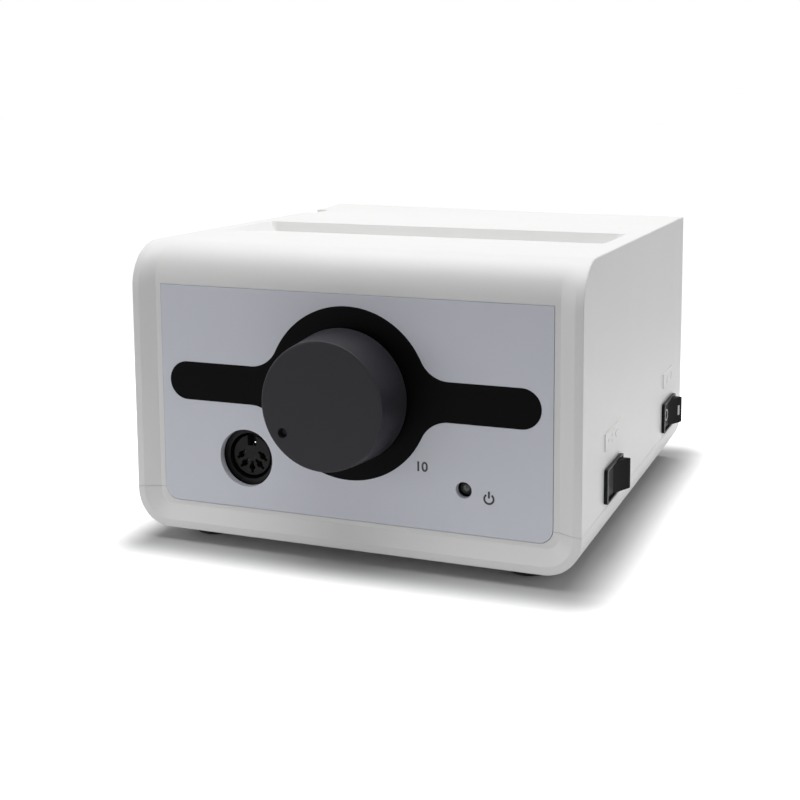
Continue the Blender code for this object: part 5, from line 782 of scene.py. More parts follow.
def cover_sheets(case, switch):
    """The cover: a front profile swept across, its side walls, and the rear frame.

    The profile rises at the front, turns over the brow in a quarter circle and runs back along
    the top. Its setback grows from the outer strip to the ledge, in proportion to the place on
    the bevel, and the brow's radius shrinks by as much. At the sides the profile is drawn in by
    the edge's radius and carried round a quarter circle into the wall. Relief moves the top up
    or down.
    """
    half, edge, low = case.width / 2, case.side_edge, case.seam + case.joint
    inner = half - case.strip
    crest = inner - case.bevel
    rear = case.depth - case.rear_edge

    level = [low, case.label_low, case.label_low + case.label_edge,
             case.label_high - case.label_edge, case.label_high]
    level += [window[0][1] + side * window[1][1] for window in windows(switch)
              for side in (-1, 1)]
    spring = case.height - case.brow_radius
    inner_spring = spring + case.setback
    rise = lines((np.array(level) - low) / (spring - low), FRONT_ROWS,
                 (case.opening_top - low) / (inner_spring - low), 1.0)
    bend = np.radians(span(0, 90, 19))[1:]

    back = [window[0][0] + side * window[1][0] for window in windows(switch)
            for side in (-1, 1)]
    for start, end in LABEL_SPANS:
        back += [start, start + case.label_edge, end - case.label_edge, end]
    back_share = (np.array(back) - edge) / (rear - edge)
    step = case.gap / 2
    trough = [case.trough_front - step, case.trough_front, case.trough_front + step,
              case.trough_rear - case.trough_draft, case.trough_rear]
    notch = [case.notch_front, case.notch_front + case.gap, case.notch_rear - case.gap,
             case.notch_rear, case.notch_rear + step]
    pad_start = case.notch_rear + (case.depth - case.notch_rear) * case.notch_depth / 4 / (
        case.pad_rise + case.notch_depth / 4)
    mark = case.mark_y + span(-case.mark_radius, case.mark_radius, 15)
    top = np.array(trough + notch + [pad_start])
    top = lines(top, mark, span(case.brow_radius, rear, 14))
    share = lines((top - case.brow_radius) / (rear - case.brow_radius), back_share, 0.0, 1.0)
    top = case.brow_radius + (rear - case.brow_radius) * share[1:]

    across = lines(half - edge, inner, crest, case.opening_half, case.trough_half,
                   case.trough_half - case.trough_lead, span(0.0, crest, 12), inner + step,
                   inner - step, crest + step, crest - step)
    mark_x = case.mark_x + span(-case.mark_radius, case.mark_radius, 15)
    notch_x = case.notch_width - half
    across = lines(across, -across, mark_x, notch_x, notch_x - case.gap)
    around = np.radians(span(90, 0, 7))[1:]
    lean = np.concatenate([around[::-1], np.full(len(across), math.pi / 2), around])
    side_x = half - edge + edge * np.cos(around)
    x = np.concatenate([-side_x[::-1], across, side_x])

    blend = np.clip((inner - abs(x)) / case.bevel, 0, 1)
    radius = case.brow_radius - case.setback * blend
    start = case.height - radius
    rise, bend, top = rise[:, None], bend[:, None], top[:, None]
    y = np.concatenate([case.setback * blend + 0 * rise,
                        case.brow_radius - radius * np.cos(bend), top + 0 * blend])
    z = np.concatenate([low + rise * (start - low), start + radius * np.sin(bend),
                        case.height + 0 * top + 0 * blend])
    normal_y = np.concatenate([-1 + 0 * rise, -np.cos(bend), 0 * top])
    normal_z = np.concatenate([0 * rise, np.sin(bend), 1 + 0 * top])
    y = y + normal_y * edge * (np.sin(lean) - 1)
    z = z + normal_z * edge * (np.sin(lean) - 1)
    x = x + 0 * y
    z = z + np.where(y > case.brow_radius, top_relief(case, x, y), 0)
    skin = np.stack([x, y, z], axis=-1)
    open_front = (abs(middles(x)) < case.opening_half) & (middles(z) < case.opening_top)

    front_y = np.concatenate([edge + 0 * rise,
                              case.brow_radius - (case.brow_radius - edge) * np.cos(bend)])
    wall_z = np.concatenate([low + rise * (spring - low),
                             spring + (case.brow_radius - edge) * np.sin(bend)])
    wall_y = front_y + (rear - front_y) * share
    wall_z = wall_z + 0 * wall_y
    high = np.clip((wall_z - spring) / (case.brow_radius - edge), 0, 1) ** 4
    sheets = [grid(skin, ~open_front)]
    rims = []
    for side in (-1, 1):
        relief = top_relief(case, side * half + 0 * wall_y, wall_y)
        lift = label_relief(case, wall_y, wall_z) if side > 0 else 0 * wall_y
        wall = np.stack([side * (half + lift), wall_y,
                         wall_z + np.where(wall_y > case.brow_radius, relief * high, 0)], axis=-1)
        keep = np.ones((wall.shape[0] - 1, wall.shape[1] - 1), bool)
        for middle, size_half in windows(switch) if side > 0 else ():
            keep &= ((abs(middles(wall_y) - middle[0]) > size_half[0])
                     | (abs(middles(wall_z) - middle[1]) > size_half[1]))
        sheets.append(grid(wall, keep))
        rims.append(wall[:, -1])

    top_rim = skin[-1]
    rim = np.concatenate([rims[1], top_rim[::-1], rims[0][::-1]])
    count = len(rims[1])
    out_x = np.concatenate([np.ones(count), np.cos(lean[::-1]) * np.sign(top_rim[::-1, 0]),
                            -np.ones(count)])
    out_z = np.concatenate([np.zeros(count), np.sin(lean[::-1]), np.zeros(count)])
    swing = np.radians(span(0, 90, 5))[:, None]
    inward = case.rear_edge * (1 - np.cos(swing))
    ring = np.stack([rim[:, 0] - out_x * inward, rear + case.rear_edge * np.sin(swing)
                     + 0 * rim[:, 0], rim[:, 2] - out_z * inward], axis=-1)
    stretch = (case.rear_top - low) / (rims[1][-1, 2] - low)
    hole_z = np.minimum(low + (rim[:, 2] - low) * stretch, case.rear_top)
    hole_z[count:-count] = case.rear_top
    hole_x = np.clip(rim[:, 0] * case.opening_half / (half - edge), -case.opening_half,
                     case.opening_half)
    hole = np.stack([hole_x, case.depth + 0 * hole_x, hole_z], axis=-1)
    sheets.append(grid(np.concatenate([ring, hole[None]])))
    return sheets


# The floor vents: their middles from the front rim, the groups' left and right ends, and half
# their width
VENT_ROWS = span(0.0770, 0.1120, 6)
VENT_GROUPS = ((-0.0430, -0.0130), (0.0110, 0.0410))
VENT_HALF = 0.0014


def tray_path(case, inset, floor_x):
    """The tray's outline seen from the front, drawn in by an inset, and its outward normals."""
    half, radius = case.width / 2 - case.floor_radius, case.floor_radius - inset
    angle = np.radians(span(0, -90, 11))
    sides = np.array([case.seam, (case.seam + case.floor_radius) / 2])
    x = np.concatenate([half + radius + 0 * sides, half + radius * np.cos(angle)])
    z = np.concatenate([sides, case.floor_radius + radius * np.sin(angle)])
    normal = np.concatenate([0 * sides, angle])
    x = np.concatenate([x, floor_x[::-1], -x[::-1]])
    z = np.concatenate([z, inset + 0 * floor_x, z[::-1]])
    out_x = np.concatenate([np.cos(normal), 0 * floor_x, -np.cos(normal)[::-1]])
    out_z = np.concatenate([np.sin(normal), -1 + 0 * floor_x, np.sin(normal)[::-1]])
    return x, z, out_x, out_z


def tray_sheets(case):
    """The tray: its outline carried from the front opening over the rim to the rear opening.

    Each row of the grid is the outline, drawn in by an inset and set at a depth: the opening,
    the ledge, the bevel, the strip, a quarter circle into the wall, the wall, and the same at
    the back.
    """
    half_floor = case.width / 2 - case.floor_radius
    vents = np.array(VENT_GROUPS).ravel()
    floor_x = lines(span(-half_floor, half_floor, 9), vents)[1:-1]
    count = 13
    start = -math.asin((case.opening_low + case.opening_radius - case.seam)
                       / case.opening_radius)
    angle = span(start, -math.pi / 2, count)
    hole_x = case.opening_half - case.opening_radius * (1 - np.cos(angle))
    hole_z = case.opening_low + case.opening_radius * (1 + np.sin(angle))
    inner = (case.opening_half - case.opening_radius) / half_floor
    hole_x = np.concatenate([hole_x, floor_x[::-1] * inner, -hole_x[::-1]])
    hole_z = np.concatenate([hole_z, case.opening_low + 0 * floor_x, hole_z[::-1]])

    rows = []
    strip, ledge = case.strip, case.strip + case.bevel
    rows.append(np.stack([hole_x, case.setback + 0 * hole_x, hole_z], axis=-1))
    for inset, y in ((ledge, case.setback), (strip, 0.0)):
        x, z = tray_path(case, inset, floor_x)[:2]
        rows.append(np.stack([x, y + 0 * x, z], axis=-1))
    swing = np.radians(span(0, 90, 7))
    x, z, out_x, out_z = tray_path(case, 0.0, floor_x)
    rear = case.depth - case.rear_edge
    slots = np.concatenate([VENT_ROWS - VENT_HALF, VENT_ROWS + VENT_HALF])
    along = lines(slots, span(case.side_edge, rear, 8))[1:-1]
    front = [(case.side_edge * (1 - np.sin(a)), case.side_edge * (1 - np.cos(a))) for a in swing]
    back = [(case.rear_edge * (1 - np.cos(a)), rear + case.rear_edge * np.sin(a)) for a in swing]
    for inset, y in front + [(0.0, y) for y in along] + back:
        rows.append(np.stack([x - inset * out_x, y + 0 * x, z - inset * out_z], axis=-1))
    rows.append(np.stack([hole_x, case.depth + 0 * hole_x, hole_z], axis=-1))
    points = np.array(rows)
    x, y, z = (middles(points[..., axis]) for axis in range(3))
    in_row = (abs(y[..., None] - VENT_ROWS) < VENT_HALF).any(-1)
    in_group = ((x > vents[0]) & (x < vents[1])) | ((x > vents[2]) & (x < vents[3]))
    return [grid(points, ~((z < case.gap) & in_row & in_group))]


def lip_sheets(case):
    """Two thin tongues inside the side walls that close the joint of cover and tray."""
    sheets = []
    for side in (-1, 1):
        outer = side * (case.width / 2 - case.wall - case.gap / 3)
        inner = outer - side * case.wall / 2
        low, high = case.seam - case.tongue_foot, case.seam + case.tongue_top
        corners = np.array([[outer, low], [outer, high], [inner, high], [inner, low]])
        y = np.array([case.wall * 3, case.depth - case.wall * 3])
        tube = np.stack([corners[:, 0] + 0 * y[:, None], y[:, None] + 0 * corners[:, 0],
                         corners[:, 1] + 0 * y[:, None]], axis=-1)
        ends = np.stack([tube[:, :2], tube[:, :1:-1]], axis=2).reshape(2, 2, 2, 3)
        sheets += [grid(tube, around=True), grid(ends[0]), grid(ends[1])]
    return sheets


class UNIT_OT_finishes(bpy.types.Operator):
    """Make the materials and give them to the pieces that keep their CAD shape"""
    bl_idname = "unit.finishes"
    bl_label = "Finishes"

    def execute(self, context):
        make_finishes(context.scene.control_unit.finish)
        for slot, names in NODE_SLOTS.items():
            for name in names:
                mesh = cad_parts[name].data
                mesh.materials.clear()
                mesh.materials.append(FINISHES[slot])
        return {"FINISHED"}


class UNIT_OT_cover(bpy.types.Operator):
    """Build the white upper cover"""
    bl_idname = "unit.cover"
    bl_label = "Upper cover"

    def execute(self, context):
        unit = context.scene.control_unit
        sheet_piece("cover_shell", cover_sheets(unit.case, unit.switch),
                    FINISHES["white_housing"], "case", ("upper_cover",),
                    facing=(0.0, 0.0, 1.0), wall=unit.case.wall, sharp=20.0)
        return {"FINISHED"}


class UNIT_OT_tray(bpy.types.Operator):
    """Build the white lower tray with its vents"""
    bl_idname = "unit.tray"
    bl_label = "Lower tray"

    def execute(self, context):
        case = context.scene.control_unit.case
        sheet_piece("tray_shell", tray_sheets(case), FINISHES["white_housing"], "case",
                    ("lower_case",), facing=(0.0, 0.0, -1.0), wall=case.wall,
                    sharp=20.0)
        sheet_piece("joint_tongues", lip_sheets(case), FINISHES["white_housing"], "case")
        return {"FINISHED"}


# Plates and legends

# How many vents the rear plate has
VENTS = 8


def circle(x, z, radius, count=64):
    """A closed circle."""
    return arc((x, z), radius, 0, 360, count + 1)[:-1]


class UNIT_OT_plates(bpy.types.Operator):
    """Build the front plate, its film and the rear plate"""
    bl_idname = "unit.plates"
    bl_label = "Plates"

    def execute(self, context):
        unit = context.scene.control_unit
        case, panel = unit.case, unit.panel
        half = case.opening_half - panel.gap
        low = case.opening_low + panel.gap

        def outline(top):
            middle, rise = (low + top - panel.gap) / 2, (top - panel.gap - low) / 2
            return box_outline((0.0, middle), (half, rise), case.opening_radius - panel.gap, True)

        near = case.setback - panel.proud
        holes = [circle(panel.socket_x, panel.socket_z, panel.socket_hole, 96),
                 circle(panel.lamp_x, panel.lamp_z, panel.lamp_hole, 48),
                 circle(0.0, panel.dial_level, panel.shaft_hole, 48)]
        plate_piece("front_plate", [outline(case.opening_top)] + holes, near,
                    near + panel.thickness, FINISHES["front_plate"], "case",
                    ("front_panel",), panel.edge)
        film = film_outline(panel) + (0.0, panel.dial_level)
        plate_piece("dial_film", [film, circle(0.0, panel.dial_level, panel.shaft_hole, 48)],
                    near - panel.film_proud, near + panel.film_sink, FINISHES["black_film"],
                    "case", ("panel_film",), panel.film_sink / 2)

        inlet = box_outline((panel.inlet_x, panel.inlet_z),
                            (panel.inlet_half_width, panel.inlet_half_height), case.gap)
        vents = [box_outline((x, panel.vent_z), (panel.vent_half_width, panel.vent_half_height),
                             panel.vent_corner)
                 for x in panel.vent_x + panel.vent_pitch * (np.arange(VENTS) - (VENTS - 1) / 2)]
        holes = [inlet, circle(panel.rear_x, panel.fuse_z, panel.fuse_hole),
                 circle(panel.rear_x, panel.jack_z, panel.jack_hole, 48)]
        plate_piece("rear_plate", [outline(case.rear_top)] + holes + vents,
                    panel.rear_face - panel.thickness, panel.rear_face,
                    FINISHES["white_housing"], "case", ("rear_panel",),
                    panel.edge)
        return {"FINISHED"}


# The degrees from which and to which the power sign's ring runs, the font's size over the height
# of its figures, half the print's thickness, and how far its outline is widened
SIGN_GAP = (125, 415)
FONT_SHARE = 1.38
PRINT_HALF, PRINT_SWELL = 0.00003, 0.00009


def legend(name, text, height, middle, y):
    """Plain figures of a height as a thin raised print, set about a place on the front."""
    curve = bpy.data.curves.new(name, "FONT")
    curve.body, curve.align_x, curve.align_y = text, "CENTER", "CENTER"
    curve.size, curve.extrude, curve.offset = height * FONT_SHARE, PRINT_HALF, PRINT_SWELL
    mesh = filled_mesh(name, curve)
    mesh.transform(Matrix.Translation((middle[0], y, middle[1]))
                   @ Matrix.Rotation(math.pi / 2, 4, "X"))
    mesh.transform(Matrix.Translation(ORIGIN))
    merge(mesh)
    thing = add_piece(name, mesh, FINISHES["ink"], "case")
    settle(thing, 40.0)


class UNIT_OT_legends(bpy.types.Operator):
    """Print the plain legends: the dial's last number and the lamp's power sign"""
    bl_idname = "unit.legends"
    bl_label = "Legends"

    def execute(self, context):
        unit = context.scene.control_unit
        prints, face = unit.prints, unit.case.setback - unit.panel.proud
        legend("dial_number", "10", prints.height, (prints.number_x, prints.number_z),
               face - PRINT_HALF / 3)
        middle, line = np.array([prints.sign_x, prints.sign_z]), prints.line / 2
        outer = arc(middle, prints.sign_radius + line, *SIGN_GAP, 40)
        inner = arc(middle, prints.sign_radius - line, *SIGN_GAP[::-1], 40)
        bar = box_outline(middle + (0.0, prints.bar_rise), (line + HAIR, prints.bar_half),
                          HAIR * 5)
        plate_piece("power_sign", [np.concatenate([outer, inner]), bar], face - prints.proud,
                    face + prints.sink, FINISHES["ink"], "case")
        return {"FINISHED"}


# Dial

# How far the fine grid reaches round the dimple, over its radius, and how flat its floor is
DIMPLE_MARGIN = 1.1
DIMPLE_POWER = 6


class UNIT_OT_dial(bpy.types.Operator):
    """Turn the speed knob with its finger dimple"""
    bl_idname = "unit.dial"
    bl_label = "Speed knob"

    def execute(self, context):
        """The profile goes round the axis; near the dimple its rings and angles lie closer, and
        there the face sinks by one minus the sixth power of the distance over the radius."""
        unit = context.scene.control_unit
        dial, level = unit.dial, unit.panel.dial_level
        reach = dial.dimple_radius * DIMPLE_MARGIN
        rings = lines(span(0.0, dial.front_radius - dial.edge * 2, 9),
                      dial.dimple_out + span(-reach, reach, 25))
        inner = dial.front + dial.face
        outer = soften(np.array([
            [rings[-1], dial.front],
            [dial.front_radius, dial.front],
            [dial.rear_radius, dial.rear],
            [dial.rear_radius - dial.skirt, dial.rear],
            [dial.front_radius - dial.skirt, inner],
            [dial.hub, inner],
            [dial.hub, dial.hub_rear],
            [dial.hub_bore, dial.hub_rear],
            [dial.hub_bore, inner],
            [0.0, inner],
        ]), [dial.edge] + [dial.small_edge] * 2 + [dial.inner_edge] * 2 + [dial.hub_edge] * 3, 7)
        profile = np.concatenate([np.column_stack([rings, dial.front + 0 * rings]), outer[1:]])
        spot = reach / dial.dimple_out
        angles = lines(turns(120), dial.dimple_clock + span(-spot, spot, 25))
        points = revolve(profile, angles, np.zeros(3))
        middle = dial.dimple_out * np.array([math.sin(dial.dimple_clock),
                                             math.cos(dial.dimple_clock)])
        away = np.hypot(points[..., 0] - middle[0], points[..., 2] - middle[1])
        sink = np.clip(1 - (away / dial.dimple_radius) ** DIMPLE_POWER, 0, 1)
        on_face = np.arange(len(profile))[:, None] < len(rings)
        points[..., 1] += dial.dimple_depth * sink * on_face
        points[..., 2] += level
        sheet_piece("knob_body", [grid(points, around=True)], FINISHES["knob_plastic"],
                    "speed_dial", ("speed_knob",), sharp=35.0)
        return {"FINISHED"}


# Socket and lamp

def keyhole(middle, angle, hole, length, width, count=13):
    """A round hole with a slot through it, along an angle from the socket's middle."""
    open_angle = math.degrees(math.asin(width / 2 / hole))
    far = np.concatenate([
        [[length / 2, -width / 2], [length / 2, width / 2]],
        arc((0.0, 0.0), hole, open_angle, 180 - open_angle, count),
        [[-length / 2, width / 2], [-length / 2, -width / 2]],
        arc((0.0, 0.0), hole, 180 + open_angle, 360 - open_angle, count),
    ])
    spin = np.array([[math.cos(angle), math.sin(angle)], [-math.sin(angle), math.cos(angle)]])
    return far @ spin + middle


class UNIT_OT_socket(bpy.types.Operator):
    """Build the handpiece socket's insulator and contacts"""
    bl_idname = "unit.socket"
    bl_label = "Handpiece socket"

    def execute(self, context):
        unit = context.scene.control_unit
        socket, panel = unit.socket, unit.panel
        centre = np.array([panel.socket_x, panel.socket_z])
        lean = math.degrees(math.asin(socket.key_width / 2 / socket.radius))
        key_floor = socket.radius - socket.key_depth
        rim = arc((0.0, 0.0), socket.radius, 90 + lean, 450 - lean, 72)
        key = np.array([[socket.key_width / 2, key_floor], [-socket.key_width / 2, key_floor]])
        outlines = [np.concatenate([rim, key]) + centre]
        places = []
        slant = np.radians((225, 315))
        for angle in np.radians(span(180, 360, 5)):
            place = centre + socket.circle * np.array([math.cos(angle), math.sin(angle)])
            places.append(place)
            outlines.append(keyhole(place, np.clip(angle, slant[0], slant[1]), socket.hole,
                                    socket.slot_length, socket.slot_width))
        back = socket.face + socket.slot_depth
        plate_piece("insulator_face", outlines, socket.face, back, FINISHES["grey_insulator"],
                    "case", ("socket_insulator",), socket.edge)
        joint = back + HAIR * 2
        core = soften(np.array([
            [0.0, joint], [socket.radius, joint], [socket.radius, socket.step],
            [socket.rear_radius, socket.step], [socket.rear_radius, socket.rear],
            [0.0, socket.rear],
        ]), [socket.core_edge] * 2 + [socket.core_edge * 2] * 2, 3)
        middle = np.array([centre[0], 0.0, centre[1]])
        sheet_piece("insulator_core", [grid(revolve(core, turns(64), middle), around=True)],
                    FINISHES["black_plastic"], "case")
        bore, radius, half = socket.sleeve_bore, socket.sleeve_radius, socket.sleeve_length / 2
        tube = np.array([
            [0.0, back], [bore, back], [bore, back - half],
            [socket.sleeve_tip, back - socket.sleeve_length], [radius, back - half],
            [radius, back + HAIR], [0.0, back + HAIR],
        ])
        tubes = [grid(revolve(tube, turns(24), np.array([x, 0.0, z])), around=True)
                 for x, z in places]
        # The sleeves take the darkened contact finish, painted shade of their holes
        sheet_piece("contact_sleeves", tubes, FINISHES["contact_painted_shade"], "case",
                    sharp=40.0)
        bead = np.radians(span(0, 180, 13))
        bead = socket.bead_radius * np.column_stack([np.sin(bead), -np.cos(bead)])
        place = middle + (socket.bead_side, back - socket.bead_out, key_floor + socket.bead_rise)
        sheet_piece("key_bead", [grid(revolve(bead, turns(24), place), around=True)],
                    FINISHES["polished_steel"], "case", sharp=60.0)
        return {"FINISHED"}


class UNIT_OT_lamp(bpy.types.Operator):
    """Turn the power lamp"""
    bl_idname = "unit.lamp"
    bl_label = "Power lamp"

    def execute(self, context):
        """A quarter circle for the dome, a straight barrel and a rim, carried round the axis."""
        panel = context.scene.control_unit.panel
        lamp = context.scene.control_unit.lamp
        radius, spring = lamp.radius, lamp.spring
        angle = np.radians(span(0, 90, 13))
        dome = np.column_stack([radius * np.sin(angle), spring - radius * np.cos(angle)])
        barrel = np.array([[radius, lamp.flange], [lamp.flange_radius, lamp.flange],
                           [lamp.flange_radius, lamp.rear], [0.0, lamp.rear]])
        middle = np.array([panel.lamp_x, 0.0, panel.lamp_z])
        points = revolve(np.concatenate([dome, barrel]), turns(48), middle)
        start, end = lamp.rear - HAIR * 10, lamp.rear + lamp.lead_length
        lead = np.array([[0.0, start], [lamp.lead_radius, start], [lamp.lead_radius, end],
                         [0.0, end]])
        leads = [grid(revolve(lead, turns(12), middle + (side * lamp.lead_side, 0.0, 0.0)),
                      around=True) for side in (-1, 1)]
        sheet_piece("lamp_dome", [grid(points, around=True)] + leads, FINISHES["lamp_lens"],
                    "case", ("power_lamp",), sharp=35.0)
        return {"FINISHED"}


# Switches

def rocker_face(switch):
    """One half of a rocker's face, from the apex to the tip, in its own level frame.

    Outward and along: a straight line from the apex, sunk by a parabola towards its middle.
    """
    tilt = switch.swing / 2
    share = span(0.0, 1.0, 13)
    reach = switch.half_length
    tip = np.array([switch.apex + reach * math.sin(tilt), reach * math.cos(tilt)])
    sink = 4 * switch.hollow * share * (1 - share)
    out = switch.apex + (tip[0] - switch.apex) * share - sink * math.cos(tilt)
    return np.column_stack([out, tip[1] * share + sink * math.sin(tilt)])


# Corners of the cut tips, back from the tip out of the wall and along the rocker, over the cut's
# size; and where the keel starts and ends, over the rocker's half length
TIP_OUTER, TIP_INNER = np.array([0.6364, 1.0]), np.array([0.5454, 0.0727])
KEEL_START, KEEL_END = 0.89, 0.42


def rocker_outline(switch):
    """The rocker seen along its pivot: the hollow V of its face, cut tips and a keel."""
    face = rocker_face(switch)
    tip = face[-1]
    half = np.concatenate([face[1:-1], [tip - switch.tip_edge * TIP_OUTER],
                           [tip - switch.tip_edge * TIP_INNER],
                           [[0.0, tip[1] * KEEL_START], [-switch.keel, tip[1] * KEEL_END]]])
    mirrored = half[::-1] * (1, -1)
    return np.concatenate([face[:1], half, mirrored])


def rocker_place(switch, y):
    """Turns a rocker from its level frame to its rest and puts it on its pivot."""
    apex = switch.apex * math.cos(switch.swing / 2) - switch.proud
    pivot = (switch.wall_x - apex, y, switch.level)
    return Matrix.Translation(pivot) @ Matrix.Rotation(-switch.swing / 2, 4, "Z")


def face_mark(switch, y, path, width):
    """A raised line on a rocker's face: a flat oval section carried along a path.

    The path gives places along the rocker and up; the face's height there is looked up.
    """
    face = rocker_face(switch)
    both = np.concatenate([face[:0:-1] * (1, -1), face])
    step = np.roll(path, -1, axis=0) - np.roll(path, 1, axis=0)
    step /= np.linalg.norm(step, axis=1, keepdims=True)
    side = np.column_stack([-step[:, 1], step[:, 0]])
    around = turns(8)
    place = path[:, None] + side[:, None] * (width / 2 * np.cos(around))[:, None]
    out = np.interp(place[..., 0], both[:, 1], both[:, 0])
    out += switch.mark_lift * np.sin(around)
    points = np.stack([out, place[..., 0], place[..., 1]], axis=-1)
    turned = np.array(rocker_place(switch, y))
    return points @ turned[:3, :3].T + turned[:3, 3]


class UNIT_OT_switches(bpy.types.Operator):
    """Build the two rockers and the power rocker's marks"""
    bl_idname = "unit.switches"
    bl_label = "Rockers"

    def execute(self, context):
        switch = context.scene.control_unit.switch
        outline = rocker_outline(switch)
        for word, y in (("direction", switch.direction_y), ("power", switch.power_y)):
            plate_piece(word + "_rocker_body", [outline], -switch.half_height,
                        switch.half_height, FINISHES["rocker_plastic"], word + "_lever",
                        (word + "_rocker",), switch.edge, "Z",
                        rocker_place(switch, y), sharp=15.0)
        angle = turns(32)
        ring = np.column_stack([switch.ring_y + switch.ring_radius * np.cos(angle),
                                switch.ring_radius * np.sin(angle)])
        ring = face_mark(switch, switch.power_y, ring, switch.ring_line)
        across = span(-switch.bar_half, switch.bar_half, 9)
        across = np.concatenate([across, across[::-1]])
        wide = switch.bar_y + np.repeat([HAIR * 5, HAIR * -5], len(across) // 2)
        bar = face_mark(switch, switch.power_y, np.column_stack([wide, across]), switch.bar_line)
        closed = [grid(np.concatenate([ring, ring[:1]]), around=True),
                  grid(np.concatenate([bar, bar[:1]]), around=True)]
        sheet_piece("power_rocker_marks", closed, FINISHES["mark"], "power_lever",
                    sharp=60.0)
        return {"FINISHED"}


class UNIT_OT_labels(bpy.types.Operator):
    """Raise the plain signs on the side labels: two arrows, and a line and a ring"""
    bl_idname = "unit.labels"
    bl_label = "Side labels"

    def execute(self, context):
        case, signs = context.scene.control_unit.case, context.scene.control_unit.signs
        face = case.width / 2 + case.label_lift
        middle = (case.label_low + case.label_high) / 2
        head, barb, shaft, length = signs.head, signs.barb, signs.line / 2, signs.arrow_length
        arrow = np.array([[0.0, 0.0], [head, barb], [head, shaft], [length, shaft],
                          [length, -shaft], [head, -shaft], [head, -barb]])
        first, second = np.mean(LABEL_SPANS, axis=1)
        shapes = [arrow + (first + signs.arrow_gap, middle),
                  (arrow * (-1, 1))[::-1] + (first - signs.arrow_gap, middle),
                  box_outline((second - signs.apart, middle), (signs.bar_half, signs.ring),
                              HAIR * 10),
                  circle(second + signs.apart, middle, signs.ring, 32),
                  circle(second + signs.apart, middle, signs.ring - signs.ring_line, 32)]
        plate_piece("side_label_signs", shapes, -face - case.label_edge, -face + HAIR * 2,
                    FINISHES["white_housing"], "case",
                    move=Matrix.Rotation(math.pi / 2, 4, "Z"))
        return {"FINISHED"}


# Feet

class UNIT_OT_feet(bpy.types.Operator):
    """Turn the four rubber feet"""
    bl_idname = "unit.feet"
    bl_label = "Feet"

    def execute(self, context):
        """A stepped bore and a rounded outer wall, carried round each foot's own axis."""
        foot = context.scene.control_unit.foot
        sole, top = -foot.height, -foot.top_gap
        profile = soften(np.array([
            [foot.bore, sole], [foot.radius - foot.chamfer, sole],
            [foot.radius, sole + foot.chamfer], [foot.radius, top], [foot.screw_hole, top],
            [foot.screw_hole, -foot.seat], [foot.bore, -foot.seat], [foot.bore, sole],
        ]), [foot.edge] * 2 + [foot.edge * 2 / 3] * 4, 4)
        for corner in ("front_left", "front_right", "rear_left", "rear_right"):
            low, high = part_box("foot_" + corner)
            middle = np.array([(low.x + high.x) / 2, (low.y + high.y) / 2, CASE_LOW.z]) - ORIGIN
            points = revolve(profile, turns(64), middle, "Z")
            sheet_piece("rubber_foot_" + corner, [grid(points, around=True)],
                        FINISHES["foot_rubber"], "case", ("foot_" + corner,),
                        sharp=35.0)
        return {"FINISHED"}


# Stage

MIDDLE = (0.0, 0.0, 0.05)
# Each lamp's name, place, target, size and power
LAMPS = (
    ("top_light", (0.0, 0.02, 0.80), MIDDLE, (0.9, 0.9), 6.1),
    ("right_light", (1.30, 0.10, 0.55), MIDDLE, (1.5, 1.3), 3.6),
    ("left_light", (-1.25, -0.35, 0.55), MIDDLE, (0.8, 0.8), 2.2),
    ("front_left_light", (-0.36, -0.46, 0.12), (-0.03, -0.06, 0.03), (0.5, 0.2), 0.36),
)
# The footprint on the floor, and how a distance from it turns into glow and bounced light: the
# near and far distance, and the value at each. The glow is a painted fade of the shadow into
# white, and the falling colour behind the bounced light is a painted pool of light round the case
FOOTPRINT_MIDDLE = np.array([0.0, 0.0060, 0.0])
FOOTPRINT_HALF = np.array([0.0625, 0.0705, 1.0])
GLOW_RANGE = (0.0, 0.023, 0.0, 1.0)
BOUNCE_RANGE = (0.03, 0.30, 0.80, 0.12)
# The share by which a painted shadow darkens the floor for the camera right beside the footprint
PAINTED_SHADOW_SHARE = 0.27
FLOOR_REACH = 6.0
ROOM_SHADE, ROOM_LIGHT = (0.97, 0.985, 1.0, 1.0), 0.12
# The camera that was fitted to the photograph; drop and heading are degrees, the lens is in mm
CAMERA_PLACE = (0.145477, -0.368637, 0.127739)
CAMERA_DROP, CAMERA_HEADING = 6.854, 19.751
CAMERA_LENS, CAMERA_SENSOR, CAMERA_SHIFT = 56.77, 36.0, (-0.0926, -0.1853)
CAMERA_RANGE = (0.01, 50.0)


def add_lamp(name, place, target, size_pair, power):
    """A soft rectangular lamp at a place, facing a target."""
    light = bpy.data.lights.new(name, "AREA")
    light.shape, light.energy = "RECTANGLE", power
    light.size, light.size_y = size_pair
    lamp = bpy.data.objects.new(name, light)
    bpy.context.scene.collection.objects.link(lamp)
    back = np.array(place) - np.array(target)
    back = back / np.linalg.norm(back)
    side = np.cross((0.0, 0.0, 1.0), back)
    side = side / np.linalg.norm(side)
    up = np.cross(back, side)
    lamp.matrix_world = Matrix.Translation(place) @ Matrix(
        np.column_stack([side, up, back]).tolist()).to_4x4()


def calculate(nodes, links, operation, *values):
    """The outcome of a sum whose values are other nodes' outcomes or plain numbers."""
    step = nodes.new("ShaderNodeMath")
    step.operation = operation
    for socket, value in zip(step.inputs, values):
        if isinstance(value, float):
            socket.default_value = value
        else:
            links.new(value, socket)
    return step.outputs[0]


def plain_view(nodes, links):
    """One where the camera, gloss or glass looks, and zero where light is gathered."""
    path = nodes.new("ShaderNodeLightPath")
    seen = path.outputs["Is Camera Ray"]
    for word in ("Is Glossy Ray", "Is Transmission Ray"):
        seen = calculate(nodes, links, "MAXIMUM", seen, path.outputs[word])
    return seen


